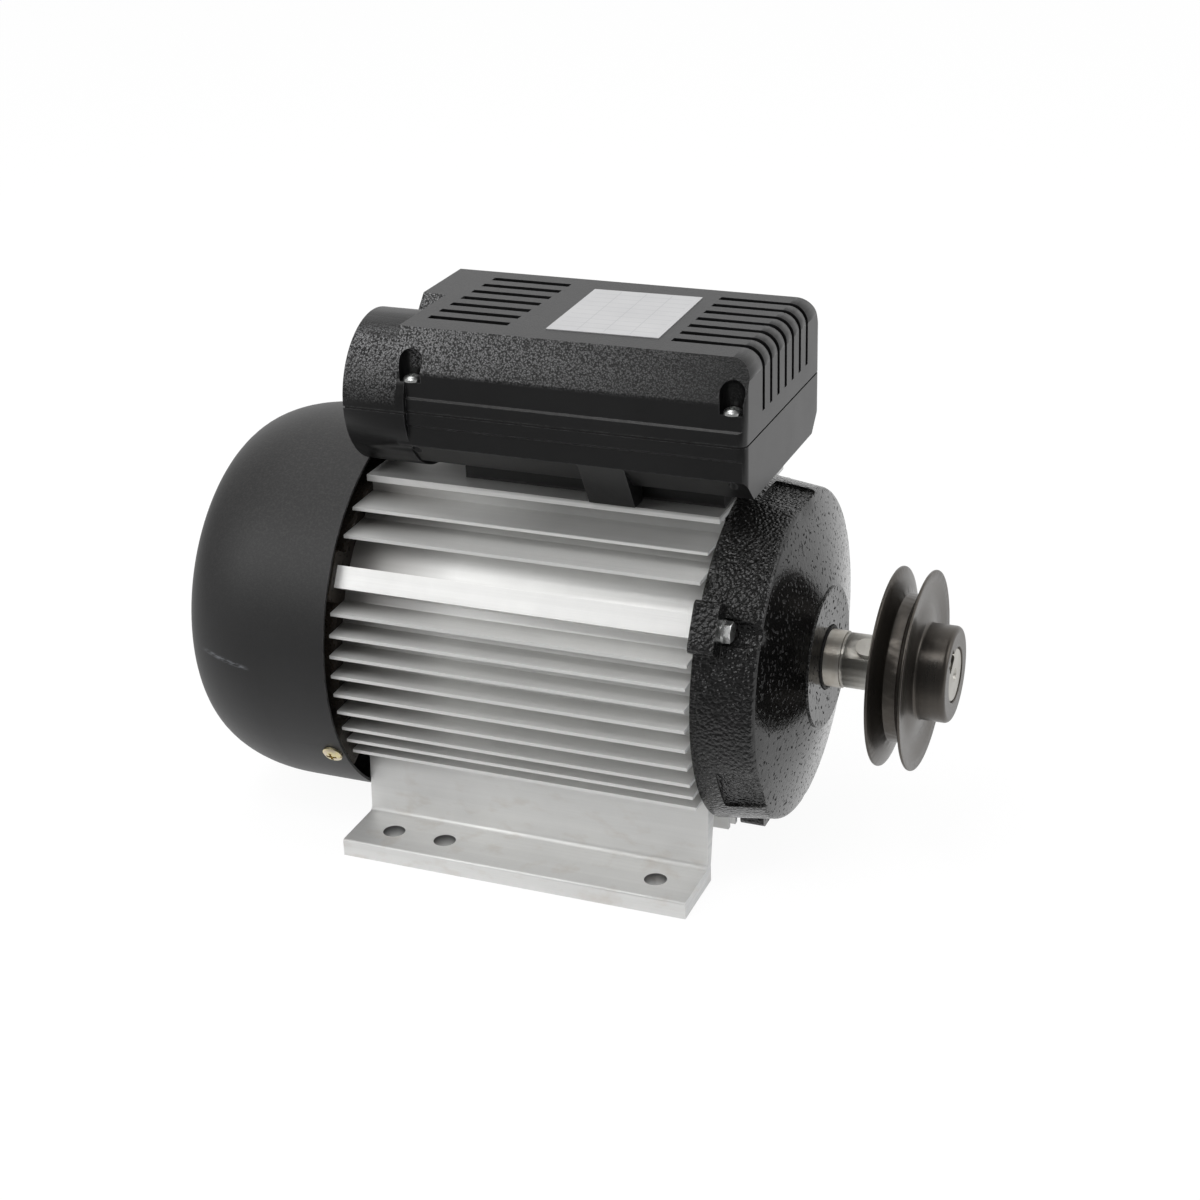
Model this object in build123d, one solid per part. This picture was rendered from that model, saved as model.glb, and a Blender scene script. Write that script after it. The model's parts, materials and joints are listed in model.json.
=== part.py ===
from build123d import *
from math import atan2, degrees, sqrt
import os

# Single-phase electric motor on feet, with a V-belt pulley on its shaft.
# Millimetres. X runs along the shaft towards the pulley, Z is up, and the origin is in the base plane
# at the centre of the long foot-hole rectangle.

# Mounting sizes
shaft_height = 90.0
foot_holes_across = 140.0
foot_holes_long = 125.0
foot_holes_short = 100.0
foot_hole_radius = 5.0

# Extruded housing
housing_length = 162.0
shell_radius = 70.0
bore_radius = 65.0
fin_circle_radius = 82.0
fin_root_thickness = 2.4
fin_tip_thickness = 1.5
side_fin_top = 25.8
side_fin_pitch = 9.28
side_fin_count = 7
low_fin_pitch = 7.6
low_fin_count = 2
high_fin_heights = (64.3, 55.2)
belly_fin_offsets = (16.5, 26.0)
rib_angles = (30, 150, 270)
rib_width = 9.8
rib_radius = 81.2
plate_half_width = 36.0
plate_thickness = 3.0
plate_top = 74.5
plate_rib_offset = 30.0
plate_core_half_width = 20.0
register_radius = 66.5
register_depth = 5.0
foot_outer = 84.0
foot_thickness = 8.0
foot_edge_round = 1.2
foot_wall_outer = 55.4
foot_wall_outer_top = 52.8
foot_wall_inner = 51.0
foot_wall_inner_top = 45.0
foot_wall_fillet = 2.5

# Fits and running gaps, and how far pieces of one solid or a cut run into each other
fit_gap = 0.05
running_gap = 0.4
seat_gap = 0.3
overlap = 1.0
hole_reach = 20.0

# Screw heads, as shares of their own size
head_flat_share = 0.95
cross_length_share = 1.1
cross_width_share = 0.28
cross_depth_share = 0.5
dome_foot_share = 0.45
dome_middle_radius_share = 0.68
dome_middle_height_share = 0.86

# End shields
shield_rim_radius = 75.8
shield_draft = 3.5
shield_wall = 6.0
shield_corner_round = 3.0
spigot_wall = 4.0
drive_shield_depth = 26.0
drive_nose_length = 10.0
rear_shield_depth = 14.0
rear_nose_length = 6.5
boss_radius = 31.0
boss_step = 1.0
lug_radius = 84.3
lug_width = 22.0
lug_length = 11.0
lug_round = 3.0
lug_pocket_radius = 6.2
lug_backing_radius = 10.5
recess_depth = 2.2
recess_length = 17.0
recess_half_width = 13.0

# Shield bolts
bolt_circle_radius = 76.0
bolt_radius = 2.5
bolt_length = 28.0
bolt_head_across = 8.0
bolt_head_height = 3.6
washer_radius = 5.0
washer_thickness = 1.0

# Ball bearings
bearing_bore = 12.5
bearing_outer = 26.0
bearing_width = 15.0
ball_radius = 3.9
ball_count = 9
cage_thickness = 2.2
cage_width = 3.5
inner_shoulder = 17.0
outer_shoulder = 21.6
bearing_shield_thickness = 0.8
drive_bearing_start = 95.0
rear_bearing_start = 85.0
bearing_lip = 23.0
wave_washer_thickness = 0.6
wave_washer_room = 0.8

# Shaft, seal and key
shaft_end = 173.0
shaft_end_radius = 12.0
shaft_body_radius = 15.0
fan_seat_radius = 10.0
shaft_rear_end = 129.0
groove_start = 125.5
groove_width = 1.4
groove_radius = 11.5
end_chamfer = 1.0
centre_hole_radius = 1.6
centre_cone_radius = 3.2
centre_hole_depth = 9.0
key_width = 8.0
key_height = 7.0
key_length = 40.0
key_depth = 4.0
key_start = 132.3
key_angle = 128.0
drive_bore_radius = 14.4
rear_bore_radius = 13.5
seal_radius = 19.0
seal_room_end = 115.5
seal_lip_length = 0.6
seal_lip_thickness = 1.2

# Stator and rotor
core_length = 100.0
stator_inner_radius = 39.0
stator_slot_count = 24
slot_inner_radius = 40.5
slot_outer_radius = 53.0
slot_width = 5.6
winding_gap = 0.3
winding_inner_radius = 42.0
winding_outer_radius = 60.0
winding_overhang = 24.0
winding_round = 5.0
end_ring_inner = 22.0
end_ring_outer = 36.0
end_ring_thickness = 9.0
rotor_vane_count = 8
rotor_vane_height = 7.0
rotor_vane_width = 8.4
rotor_vane_thickness = 3.0
rotor_vane_middle = 30.8
rotor_vane_root = 0.5

# Centrifugal switch
governor_start = 61.0
governor_thickness = 2.5
governor_radius = 30.0
governor_hub_radius = 19.0
governor_hub_length = 6.0
weight_length = 22.0
weight_width = 9.0
weight_thickness = 4.0
weight_offset = 24.0
collar_length = 6.0
collar_radius = 18.2
collar_flange_radius = 23.0
collar_flange_thickness = 1.6
collar_travel = 4.0
collar_gap = 0.3
board_inner_radius = 27.5
board_outer_radius = 37.0
board_thickness = 2.0
contact_angles = (70, 110)
contact_width = 7.0
contact_thickness = 0.6
contact_margin = 1.0

# Fan and its cover
fan_start = 109.0
fan_hub_radius = 17.0
fan_hub_length = 18.0
fan_disc_radius = 66.0
fan_disc_thickness = 2.5
fan_blade_count = 8
fan_blade_length = 24.0
fan_blade_thickness = 2.4
fan_blade_inner = 16.0
fan_blade_slope_share = 0.45
clip_radius = 14.0
clip_thickness = 1.2
cover_radius = 87.2
cover_wall = 1.2
cover_rim_gap = 0.3
cover_length = 76.0
cover_bowl_length = 42.0
cover_bowl_depth = 21.0
cover_screw_angles = (90, 210, 330)
cover_screw_setback = 6.0
cover_screw_radius = 2.5
cover_screw_length = 9.0
cover_screw_head_radius = 4.6
cover_screw_head_height = 2.2
cover_slot_count = 24
cover_slot_width = 4.0
cover_slot_inner = 24.0
cover_slot_outer = 52.0
cover_hub_slot_count = 8
cover_hub_slot_outer = 18.0
cover_hub_slot_inner = 8.0

# Pulley
pulley_radius = 43.1
rear_rim = 145.2
front_rim = 160.4
rim_land = 1.1
belt_groove_radius = 32.0
belt_groove_floor = 5.4
pulley_hub_radius = 20.8
pulley_hub_rear = 142.0
pulley_hub_front = 173.4
pulley_dish = 2.0
pulley_web_radius = 30.0
pulley_hub_round = 2.2
pulley_root_fillet = 1.4
set_screw_radius = 3.0
set_screw_x = 167.0
set_screw_socket_across = 3.0
set_screw_socket_depth = 2.0
set_screw_sunk = 1.0

# Terminal and capacitor box
box_front = 97.2
box_near_end = -57.0
box_split = 202.0
box_top = 236.0
box_floor = 176.0
box_wall = 2.6
box_floor_thickness = 3.0
band_half_width = 51.0
band_proud = 0.8
band_top = 208.0
band_bottom = 195.0
shoulder_height = 219.0
top_half_width = 42.0
chamfer_top = 186.5
floor_half_width = 40.0
front_round = 8.0
front_corner_round = 4.0
hump_radius = 32.8
hump_offset = 20.5
hump_height = 201.7
hump_end = -80.3
far_end = -68.0
far_near_side = 4.0
far_slope = 12.0
seam_gap = 0.8
seam_inset = 0.6
neck_start = -38.0
neck_end = 80.0
neck_half_width = 26.0
base_gasket_thickness = 0.8
tab_start = 24.5
tab_end = 45.0
tab_foot_outer = 38.5
tab_foot_inner = 30.0
slot_count = 7
slot_pitch = 9.8
first_slot = -27.6
vent_width = 4.0
vent_foot_width = 3.0
left_slot_start = -50.0
left_slot_end = -13.4
left_slot_stagger = 0.5
right_slot_start = 58.7
right_slot_foot = 210.0
lid_screw_places = (-49.5, 91.0)
lid_screw_offset = 47.6
lid_screw_radius = 2.0
lid_screw_length = 24.0
lid_screw_head_radius = 3.8
lid_screw_head_height = 2.4
screw_ledge = 214.6
pocket_radius = 5.4
pocket_top = 228.2
column_wall = 2.4
base_column_radius = 5.0
label_middle = 27.8
label_length = 49.0
label_width = 58.0
label_thickness = 0.3
label_turn = 1.5
base_screw_places = (9.0, 73.0)
base_screw_offset = 16.0
base_screw_radius = 2.5
base_screw_engagement = 7.0
base_screw_head_radius = 4.5
base_screw_head_height = 3.2
wire_hole_x = 60.0
wire_hole_radius = 8.0

# What the box holds
run_capacitor_radius = 21.5
run_capacitor_start = -75.0
run_capacitor_length = 75.0
start_capacitor_radius = 17.5
start_capacitor_start = -61.0
start_capacitor_length = 62.0
start_capacitor_offset = 24.0
capacitor_edge_round = 2.0
capacitor_tab_length = 6.0
capacitor_tab_width = 4.8
capacitor_tab_thickness = 0.8
capacitor_clearance = 0.9
clip_start = -20.0
clip_strap_width = 10.0
clip_strap_thickness = 1.0
board_start = 19.0
board_end = 49.0
board_half_width = 26.0
board_height = 9.0
board_foot = 5.0
stud_count = 3
stud_pitch = 16.0
stud_row_gap = 14.0
stud_radius = 2.0
stud_height = 12.0
nut_across = 7.0
nut_height = 3.2
link_thickness = 0.8
link_width = 7.0
earth_screw_x = 84.0
earth_screw_y = -22.0
gland_x = 30.0
gland_height = 190.5
gland_boss_radius = 10.0
gland_boss_face = 53.0
gland_thread_radius = 6.4
gland_bore_radius = 4.0
gland_across = 17.0
gland_flange = 4.0
gland_cap_length = 12.0
gland_cap_inset = 0.5
gland_cap_round = 2.0
gland_inner_length = 9.0

half_length = housing_length / 2
plate_top_z = shaft_height + plate_top
slant_half_width = band_half_width - band_proud
neck_bottom = plate_top_z + base_gasket_thickness
axis_up = Pos(0, 0, shaft_height)


def turned(*outline):
    """Solid turned about the shaft axis from a closed outline of (x, radius) points."""
    return axis_up * revolve(make_face(Polyline(*outline, close=True)), Axis.X)


def ring(start, end, inner, outer):
    """Plain ring about the shaft axis."""
    return turned((start, inner), (end, inner), (end, outer), (start, outer))


def around(angle, x, radius):
    """Place on a circle about the shaft axis, local Y pointing outwards."""
    return axis_up * Rot(angle, 0, 0) * Pos(x, radius, 0)


def along_x(shape):
    """Turn a shape made upwards so that its top points to +X."""
    return Rot(0, 90, 0) * shape


def flip_x(shape):
    """Mirror a shape to the fan end."""
    return mirror(shape, Plane.YZ)


def box_between(low, high):
    """Block between two opposite corners."""
    size = [b - a for a, b in zip(low, high)]
    return Pos(*low) * Box(*size, align=(Align.MIN, Align.MIN, Align.MIN))


def polygon(*points):
    return make_face(Polyline(*points, close=True))


def section_along_x(face, start, end):
    """Extrude a (y, z) section from one x to another."""
    return Pos(start, 0, 0) * extrude(Plane.YZ * face, end - start)


def nearest_vertex(sketch, point):
    """Corner of a flat sketch that lies nearest to a point."""
    return min(sketch.vertices(), key=lambda v: (Vector(v) - Vector(*point)).length)


def hex_prism(across_flats, height):
    return extrude(RegularPolygon(across_flats / 2, 6, major_radius=False), height)


def hex_head(across_flats, height):
    """Hex prism with the corners of its top turned off at thirty degrees."""
    corner = across_flats / sqrt(3)
    flat = head_flat_share * across_flats / 2
    shoulder = height - (corner - flat) / sqrt(3)
    blank = revolve(
        Plane.XZ * polygon((0, 0), (corner, 0), (corner, shoulder), (flat, height), (0, height)), Axis.Z)
    return hex_prism(across_flats, height) & blank


def cross_recess(head_radius, top):
    """Cut for a cross-recess driver in a head whose top is at the given height."""
    blade = Box(
        head_radius * cross_length_share,
        head_radius * cross_width_share,
        head_radius * cross_depth_share,
    )
    return Pos(0, 0, top) * (blade + Rot(0, 0, 90) * blade)


def pan_screw(radius, length, head_radius, head_height):
    """Screw pointing down, its head standing on the plane z = 0."""
    rim = head_height * dome_foot_share
    dome_middle = (head_radius * dome_middle_radius_share, head_height * dome_middle_height_share)
    profile = make_face(
        Line((0, 0), (head_radius, 0))
        + Line((head_radius, 0), (head_radius, rim))
        + ThreePointArc((head_radius, rim), dome_middle, (0, head_height))
        + Line((0, head_height), (0, 0))
    )
    head = revolve(Plane.XZ * profile, Axis.Z) - cross_recess(head_radius, head_height)
    shank = Cylinder(radius, length, align=(Align.CENTER, Align.CENTER, Align.MAX))
    return head + shank


# Housing: one extrusion with horizontal fins, bolt ribs, a top plate and two foot rails


def side_fin(height, side):
    root = sqrt(shell_radius**2 - height**2) - fin_root_thickness
    tip = sqrt(fin_circle_radius**2 - height**2)
    return polygon(
        (side * root, height - fin_root_thickness / 2),
        (side * tip, height - fin_tip_thickness / 2),
        (side * tip, height + fin_tip_thickness / 2),
        (side * root, height + fin_root_thickness / 2),
    )


def belly_fin(offset):
    root = -sqrt(shell_radius**2 - offset**2) + fin_root_thickness
    tip = -sqrt(fin_circle_radius**2 - offset**2)
    return Pos(offset, (root + tip) / 2) * Rectangle(fin_root_thickness, root - tip)


def foot_rail(side):
    """Foot wall leaning in towards the shell, with the foot plate outside it."""
    wall_middle = (shell_radius + bore_radius) / 2
    outer_top = -sqrt(wall_middle**2 - foot_wall_outer_top**2)
    inner_top = -sqrt(wall_middle**2 - foot_wall_inner_top**2)
    foot_top = foot_thickness - shaft_height
    rail = polygon(
        (side * foot_outer, -shaft_height),
        (side * foot_outer, foot_top),
        (side * foot_wall_outer, foot_top),
        (side * foot_wall_outer_top, outer_top),
        (side * foot_wall_inner_top, inner_top),
        (side * foot_wall_inner, foot_top),
        (side * foot_wall_inner, -shaft_height),
    )
    rail = fillet(nearest_vertex(rail, (side * foot_wall_outer, foot_top, 0)), foot_wall_fillet)
    return fillet(nearest_vertex(rail, (side * foot_outer, foot_top, 0)), foot_edge_round)


def housing_profile():
    profile = Circle(shell_radius)
    side_heights = [side_fin_top - i * side_fin_pitch for i in range(side_fin_count)]
    lowest = side_heights[-1]
    low_heights = [lowest - (i + 1) * low_fin_pitch for i in range(low_fin_count)]
    for side in (-1, 1):
        for height in (*high_fin_heights, *side_heights, *low_heights):
            profile += side_fin(height, side)
        for offset in belly_fin_offsets:
            profile += belly_fin(side * offset)
        profile += foot_rail(side)
    rib_root = bore_radius + overlap
    for angle in rib_angles:
        rib = Pos((rib_root + rib_radius) / 2, 0) * Rectangle(rib_radius - rib_root, rib_width)
        profile += Rot(0, 0, angle) * rib
    profile += Pos(0, plate_top - plate_thickness / 2) * Rectangle(2 * plate_half_width, plate_thickness)
    stem_bottom = sqrt(shell_radius**2 - plate_rib_offset**2) - fin_root_thickness
    stem_height = plate_top - stem_bottom
    stem = Rectangle(fin_root_thickness, stem_height, align=(Align.CENTER, Align.MIN))
    for side in (-1, 1):
        profile += Pos(side * plate_rib_offset, stem_bottom) * stem
    core_bottom = sqrt(shell_radius**2 - plate_core_half_width**2) - fin_root_thickness
    core = Rectangle(2 * plate_core_half_width, plate_top - core_bottom, align=(Align.CENTER, Align.MIN))
    profile += Pos(0, core_bottom) * core
    return profile - Circle(bore_radius)


def foot_hole_places():
    far_x = foot_holes_long / 2
    return [
        (x, side * foot_holes_across / 2)
        for x in (far_x, -far_x, far_x - foot_holes_short)
        for side in (-1, 1)
    ]


def housing():
    body = Pos(-half_length, 0, shaft_height) * extrude(Plane.YZ * housing_profile(), housing_length)
    for x, y in foot_hole_places():
        body -= Pos(x, y, foot_thickness / 2) * Cylinder(foot_hole_radius, 2 * foot_thickness)
    for end in (-1, 1):
        body -= ring(end * half_length, end * (half_length - register_depth), 0, register_radius)
        for angle in rib_angles:
            tapped = along_x(Cylinder(bolt_radius + fit_gap, 2 * bolt_length))
            body -= around(angle, end * half_length, bolt_circle_radius) * tapped
    for x, y in base_screw_spots():
        depth = base_screw_engagement + overlap
        body -= Pos(x, y, plate_top_z - depth / 2) * Cylinder(base_screw_radius + fit_gap, depth)
    body -= Pos(wire_hole_x, 0, plate_top_z) * Cylinder(wire_hole_radius, 4 * (shell_radius - bore_radius))
    return body


# End shields: turned castings with lugs over the housing ribs


def shield_body(depth, nose, bearing_start, seat_end, bore):
    """Turned casting, made for the drive end, with its bearing seat open inwards."""
    face = half_length
    crease = face + depth
    crease_radius = shield_rim_radius - shield_draft * depth / drive_shield_depth
    nose_face = crease + nose
    wall = shield_wall
    outline = polygon(
        (face, register_radius - fit_gap),
        (face, shield_rim_radius),
        (crease, crease_radius),
        (nose_face, boss_radius + boss_step),
        (nose_face, boss_radius),
        (nose_face + boss_step, boss_radius),
        (nose_face + boss_step, bore),
        (seat_end, bore),
        (seat_end, bearing_outer + fit_gap),
        (bearing_start, bearing_outer + fit_gap),
        (bearing_start, bearing_outer + wall),
        (nose_face - wall, bearing_outer + wall),
        (crease - wall, crease_radius - wall),
        (face, register_radius - spigot_wall),
        (face - register_depth, register_radius - spigot_wall),
        (face - register_depth, register_radius - fit_gap),
    )
    outline = fillet(nearest_vertex(outline, (crease, crease_radius, 0)), shield_corner_round)
    return axis_up * revolve(outline, Axis.X)


def lug_block(reach):
    """Rounded block that carries one bolt from the rim out to the lug radius."""
    block = box_between((0, reach, -lug_width / 2), (lug_length, lug_radius, lug_width / 2))
    outer = block.edges().filter_by(Axis.X).sort_by(Axis.Y)[-2:]
    return fillet(outer, lug_round)


def bolted_shield(depth, nose, bearing_start, seat_end, bore):
    shield = shield_body(depth, nose, bearing_start, seat_end, bore)
    reach = register_radius + 2 * overlap
    backing = half_length + lug_length
    for angle in rib_angles:
        column = Pos(lug_length, 0, 0) * along_x(Cylinder(lug_backing_radius, 2 * lug_length))
        keep = ring(half_length, half_length + depth - shield_wall / 2,
                    bearing_outer, shield_rim_radius - 2 * overlap)
        shield += around(angle, half_length, bolt_circle_radius) * column & keep
        shield += around(angle, half_length, 0) * lug_block(reach)
        pocket = along_x(Cylinder(lug_pocket_radius, depth, align=(Align.CENTER, Align.CENTER, Align.MIN)))
        shield -= around(angle, backing, bolt_circle_radius) * pocket
        clearance = along_x(Cylinder(bolt_radius + seat_gap, 4 * lug_length))
        shield -= around(angle, half_length, bolt_circle_radius) * clearance
    return shield


def drive_shield():
    seat_end = drive_bearing_start + bearing_width + wave_washer_room
    shield = bolted_shield(drive_shield_depth, drive_nose_length, drive_bearing_start, seat_end,
                           drive_bore_radius)
    shield -= ring(seat_end, seal_room_end, 0, seal_radius)
    # shallow recesses that follow the drafted side, where the other shield has its cover pads
    draft_angle = degrees(atan2(shield_draft, drive_shield_depth))
    recess = box_between(
        (-recess_length, -recess_depth, -recess_half_width),
        (shield_corner_round, lug_radius - shield_rim_radius, recess_half_width),
    )
    for angle in cover_screw_angles:
        crease = around(angle, half_length + drive_shield_depth, shield_rim_radius - shield_draft)
        shield -= crease * Rot(0, 0, -draft_angle) * recess
    return shield


def rear_shield():
    seat_end = rear_bearing_start + bearing_width
    shield = bolted_shield(rear_shield_depth, rear_nose_length, rear_bearing_start, seat_end,
                           rear_bore_radius)
    pad_radius = cover_radius - cover_wall - seat_gap
    for angle in cover_screw_angles:
        pad = box_between(
            (half_length, register_radius + 2 * overlap, -lug_width / 2),
            (half_length + 2 * cover_screw_setback, pad_radius, lug_width / 2),
        )
        shield += around(angle, 0, 0) * pad
        screw_x = half_length + cover_screw_setback
        hole = Rot(90, 0, 0) * Cylinder(cover_screw_radius + fit_gap, 2 * cover_screw_length)
        shield -= around(angle, screw_x, pad_radius) * hole
    shield &= ring(0, 2 * half_length, 0, pad_radius)
    return flip_x(shield)


def shield_bolts():
    """Three hex bolts with washers at the drive end, pointing into the housing ribs."""
    seat = half_length + lug_length + washer_thickness
    shank = Cylinder(bolt_radius, bolt_length, align=(Align.CENTER, Align.CENTER, Align.MAX))
    bolt = along_x(hex_head(bolt_head_across, bolt_head_height) + shank)
    return [around(angle, seat, bolt_circle_radius) * bolt for angle in rib_angles]


def shield_washers():
    plate = Cylinder(washer_radius, washer_thickness, align=(Align.CENTER, Align.CENTER, Align.MIN))
    washer = along_x(plate - Cylinder(bolt_radius + fit_gap, 4 * washer_thickness))
    seat = half_length + lug_length
    return [around(angle, seat, bolt_circle_radius) * washer for angle in rib_angles]


# Ball bearings, wave washer and seal


def raceway(middle):
    """Torus that leaves the running gap round the balls."""
    pitch = (inner_shoulder + outer_shoulder) / 2
    return Pos(middle, 0, shaft_height) * along_x(Torus(pitch, ball_radius + seat_gap))


def bearing_outer_ring(start):
    end = start + bearing_width
    outer = ring(start, end, outer_shoulder, bearing_outer) - raceway(start + bearing_width / 2)
    cap_inner = inner_shoulder + running_gap
    for cap_start in (start, end - bearing_shield_thickness):
        outer += ring(cap_start, cap_start + bearing_shield_thickness, cap_inner, outer_shoulder + overlap)
    return outer


def bearing_inner_ring(start):
    middle = start + bearing_width / 2
    return ring(start, start + bearing_width, bearing_bore, inner_shoulder) - raceway(middle)


def bearing_balls(start):
    middle = start + bearing_width / 2
    pitch = (inner_shoulder + outer_shoulder) / 2
    cage_start = middle - ball_radius - cage_thickness / 2
    cage = ring(cage_start, cage_start + cage_width, pitch - cage_thickness / 2, pitch + cage_thickness / 2)
    ball = Sphere(ball_radius)
    for i in range(ball_count):
        cage += around(i * 360 / ball_count, middle, pitch) * ball
    return cage


def wave_washer():
    start = drive_bearing_start + bearing_width
    return ring(start, start + wave_washer_thickness, bearing_lip, bearing_outer - seat_gap)


def shaft_seal():
    """Lip seal pressed into the drive shield from inside, its lip standing a little out of the boss."""
    boss_face = half_length + drive_shield_depth + drive_nose_length + boss_step
    start = drive_bearing_start + bearing_width + wave_washer_room
    end = seal_room_end - fit_gap
    lip_radius = bearing_bore + seat_gap
    return turned(
        (start, lip_radius),
        (start, seal_radius - fit_gap),
        (end, seal_radius - fit_gap),
        (end, lip_radius + seal_lip_thickness),
        (boss_face + seal_lip_length, lip_radius + seal_lip_thickness),
        (boss_face + seal_lip_length, lip_radius),
    )


# Rotor: shaft, key, core and cage


def key_shape(length, height):
    """Round-ended key lying along X, its foot on the plane z = 0."""
    outline = Pos(length / 2, 0) * SlotOverall(length, key_width)
    return extrude(outline, height)


def on_key_side(shape):
    """Put a shape made above the shaft axis on the keyed side of the shaft."""
    return axis_up * Rot(key_angle - 90, 0, 0) * shape


def shaft():
    drive_shoulder = drive_bearing_start
    rear_shoulder = -rear_bearing_start
    rear_seat_end = -(rear_bearing_start + bearing_width)
    outline = polygon(
        (-shaft_rear_end, 0),
        (-shaft_rear_end, fan_seat_radius - end_chamfer),
        (-shaft_rear_end + end_chamfer, fan_seat_radius),
        (rear_seat_end, fan_seat_radius),
        (rear_seat_end, bearing_bore),
        (rear_shoulder, bearing_bore),
        (rear_shoulder, shaft_body_radius),
        (drive_shoulder, shaft_body_radius),
        (drive_shoulder, bearing_bore),
        (groove_start, bearing_bore),
        (groove_start, groove_radius),
        (groove_start + groove_width, groove_radius),
        (groove_start + groove_width, shaft_end_radius),
        (shaft_end - end_chamfer, shaft_end_radius),
        (shaft_end, shaft_end_radius - end_chamfer),
        (shaft_end, centre_cone_radius),
        (shaft_end - centre_cone_radius + centre_hole_radius, centre_hole_radius),
        (shaft_end - centre_hole_depth, centre_hole_radius),
        (shaft_end - centre_hole_depth, 0),
    )
    body = axis_up * revolve(outline, Axis.X)
    seat = key_shape(shaft_end - key_start + key_width, key_height)
    return body - on_key_side(Pos(key_start, 0, shaft_end_radius - key_depth) * seat)


def pulley_key():
    key = key_shape(key_length, key_height)
    return on_key_side(Pos(key_start, 0, shaft_end_radius - key_depth) * key)


def rotor_core():
    rotor_radius = stator_inner_radius - running_gap
    return ring(-core_length / 2, core_length / 2, shaft_body_radius, rotor_radius)


def rotor_cage():
    """Cast end rings; the one at the drive end carries vanes, the governor stands at the other."""
    face = core_length / 2
    drive_ring = ring(face, face + end_ring_thickness, end_ring_inner, end_ring_outer)
    fan_ring = flip_x(drive_ring)
    vane = Box(rotor_vane_height, rotor_vane_width, rotor_vane_thickness)
    vane_x = face + end_ring_thickness + rotor_vane_height / 2 - rotor_vane_root
    for i in range(rotor_vane_count):
        drive_ring += around(i * 360 / rotor_vane_count, vane_x, rotor_vane_middle) * vane
    return [fan_ring, drive_ring]


def stator_core():
    core = ring(-core_length / 2, core_length / 2, stator_inner_radius, bore_radius - fit_gap)
    depth = slot_outer_radius - stator_inner_radius + overlap
    slot = Box(2 * core_length, depth, slot_width)
    for i in range(stator_slot_count):
        core -= around(i * 360 / stator_slot_count, 0, slot_outer_radius - depth / 2) * slot
    return core


def stator_windings():
    """Coil sides in the slots, joined at each end by a bound bundle."""
    depth = slot_outer_radius - slot_inner_radius - winding_gap
    side = Box(core_length + 2 * winding_round, depth, slot_width - 2 * winding_gap)
    face = core_length / 2 + seat_gap
    bundle_outline = Pos(face + winding_overhang / 2, (winding_inner_radius + winding_outer_radius) / 2)
    bundle = revolve(
        bundle_outline
        * RectangleRounded(winding_overhang, winding_outer_radius - winding_inner_radius, winding_round),
        Axis.X,
    )
    coils = axis_up * (bundle + mirror(bundle, Plane.YZ))
    for i in range(stator_slot_count):
        coils += around(i * 360 / stator_slot_count, 0, slot_inner_radius + depth / 2) * side
    return coils


# Centrifugal switch at the fan end


def governor():
    """Carrier pressed on the shaft, with its two weights."""
    plate_end = -(governor_start + governor_thickness)
    carrier = ring(-governor_start, plate_end, shaft_body_radius, governor_radius)
    carrier += ring(-governor_start, -governor_start + governor_hub_length - governor_thickness,
                    shaft_body_radius, governor_hub_radius)
    weight = Box(weight_thickness, weight_width, weight_length)
    for angle in (0, 180):
        carrier += around(angle, plate_end - weight_thickness / 2, weight_offset + weight_width / 2) * weight
    return carrier


def governor_collar():
    """Sliding collar between the weights, with the flange that presses the switch open."""
    start = -(governor_start + governor_thickness + collar_travel + seat_gap)
    bore = shaft_body_radius + collar_gap
    collar = ring(start, start - collar_length, bore, collar_radius)
    return collar + ring(start - collar_length, start - collar_length + collar_flange_thickness,
                         bore, collar_flange_radius)


def switch_board():
    board_face = -rear_bearing_start
    return ring(board_face, board_face + board_thickness, board_inner_radius, board_outer_radius)


def switch_contacts():
    """Two contact strips on the board."""
    strips = []
    middle = (board_inner_radius + board_outer_radius) / 2
    x = -rear_bearing_start + board_thickness + contact_thickness / 2
    strip_length = board_outer_radius - board_inner_radius - 2 * contact_margin
    for angle in contact_angles:
        strip = Box(contact_thickness, strip_length, contact_width)
        strips.append(around(angle, x, middle) * strip)
    return strips


# Fan and fan cover


def fan():
    disc_end = -(fan_start + fan_disc_thickness)
    wheel = ring(-fan_start, disc_end, fan_seat_radius, fan_disc_radius)
    wheel += ring(-fan_start, -(fan_start + fan_hub_length), fan_seat_radius, fan_hub_radius)
    blade_depth = fan_disc_radius - fan_blade_inner
    blade = polygon(
        (-fan_start - overlap, fan_blade_inner),
        (-fan_start - overlap, fan_disc_radius),
        (-fan_start - fan_blade_length, fan_disc_radius),
        (-fan_start - fan_blade_length, fan_blade_inner + blade_depth * fan_blade_slope_share),
        (-fan_start - fan_hub_length + 2 * overlap, fan_blade_inner),
    )
    for i in range(fan_blade_count):
        vane = extrude(blade, fan_blade_thickness / 2, both=True)
        wheel += axis_up * Rot(i * 360 / fan_blade_count, 0, 0) * vane
    return wheel


def fan_clip():
    start = -(fan_start + fan_hub_length)
    return ring(start, start - clip_thickness, fan_seat_radius, clip_radius)


def cover_outline(inset):
    """Half outline of the bowl, from the open rim to the closed end, shrunk by an inset."""
    rim = -(half_length + cover_rim_gap)
    end = rim - cover_length + inset
    radius = cover_radius - inset
    bowl_start = rim - cover_length + cover_bowl_length
    shoulder = EllipticalCenterArc(
        (bowl_start, radius - cover_bowl_depth),
        cover_bowl_length - inset,
        cover_bowl_depth,
        start_angle=90,
        arc_size=90,
    )
    flat = Line((end, radius - cover_bowl_depth), (end, 0))
    side = Line((rim, radius), (bowl_start, radius))
    closing = Line((end, 0), (rim, 0)) + Line((rim, 0), (rim, radius))
    return make_face(side + shoulder + flat + closing)


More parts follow.
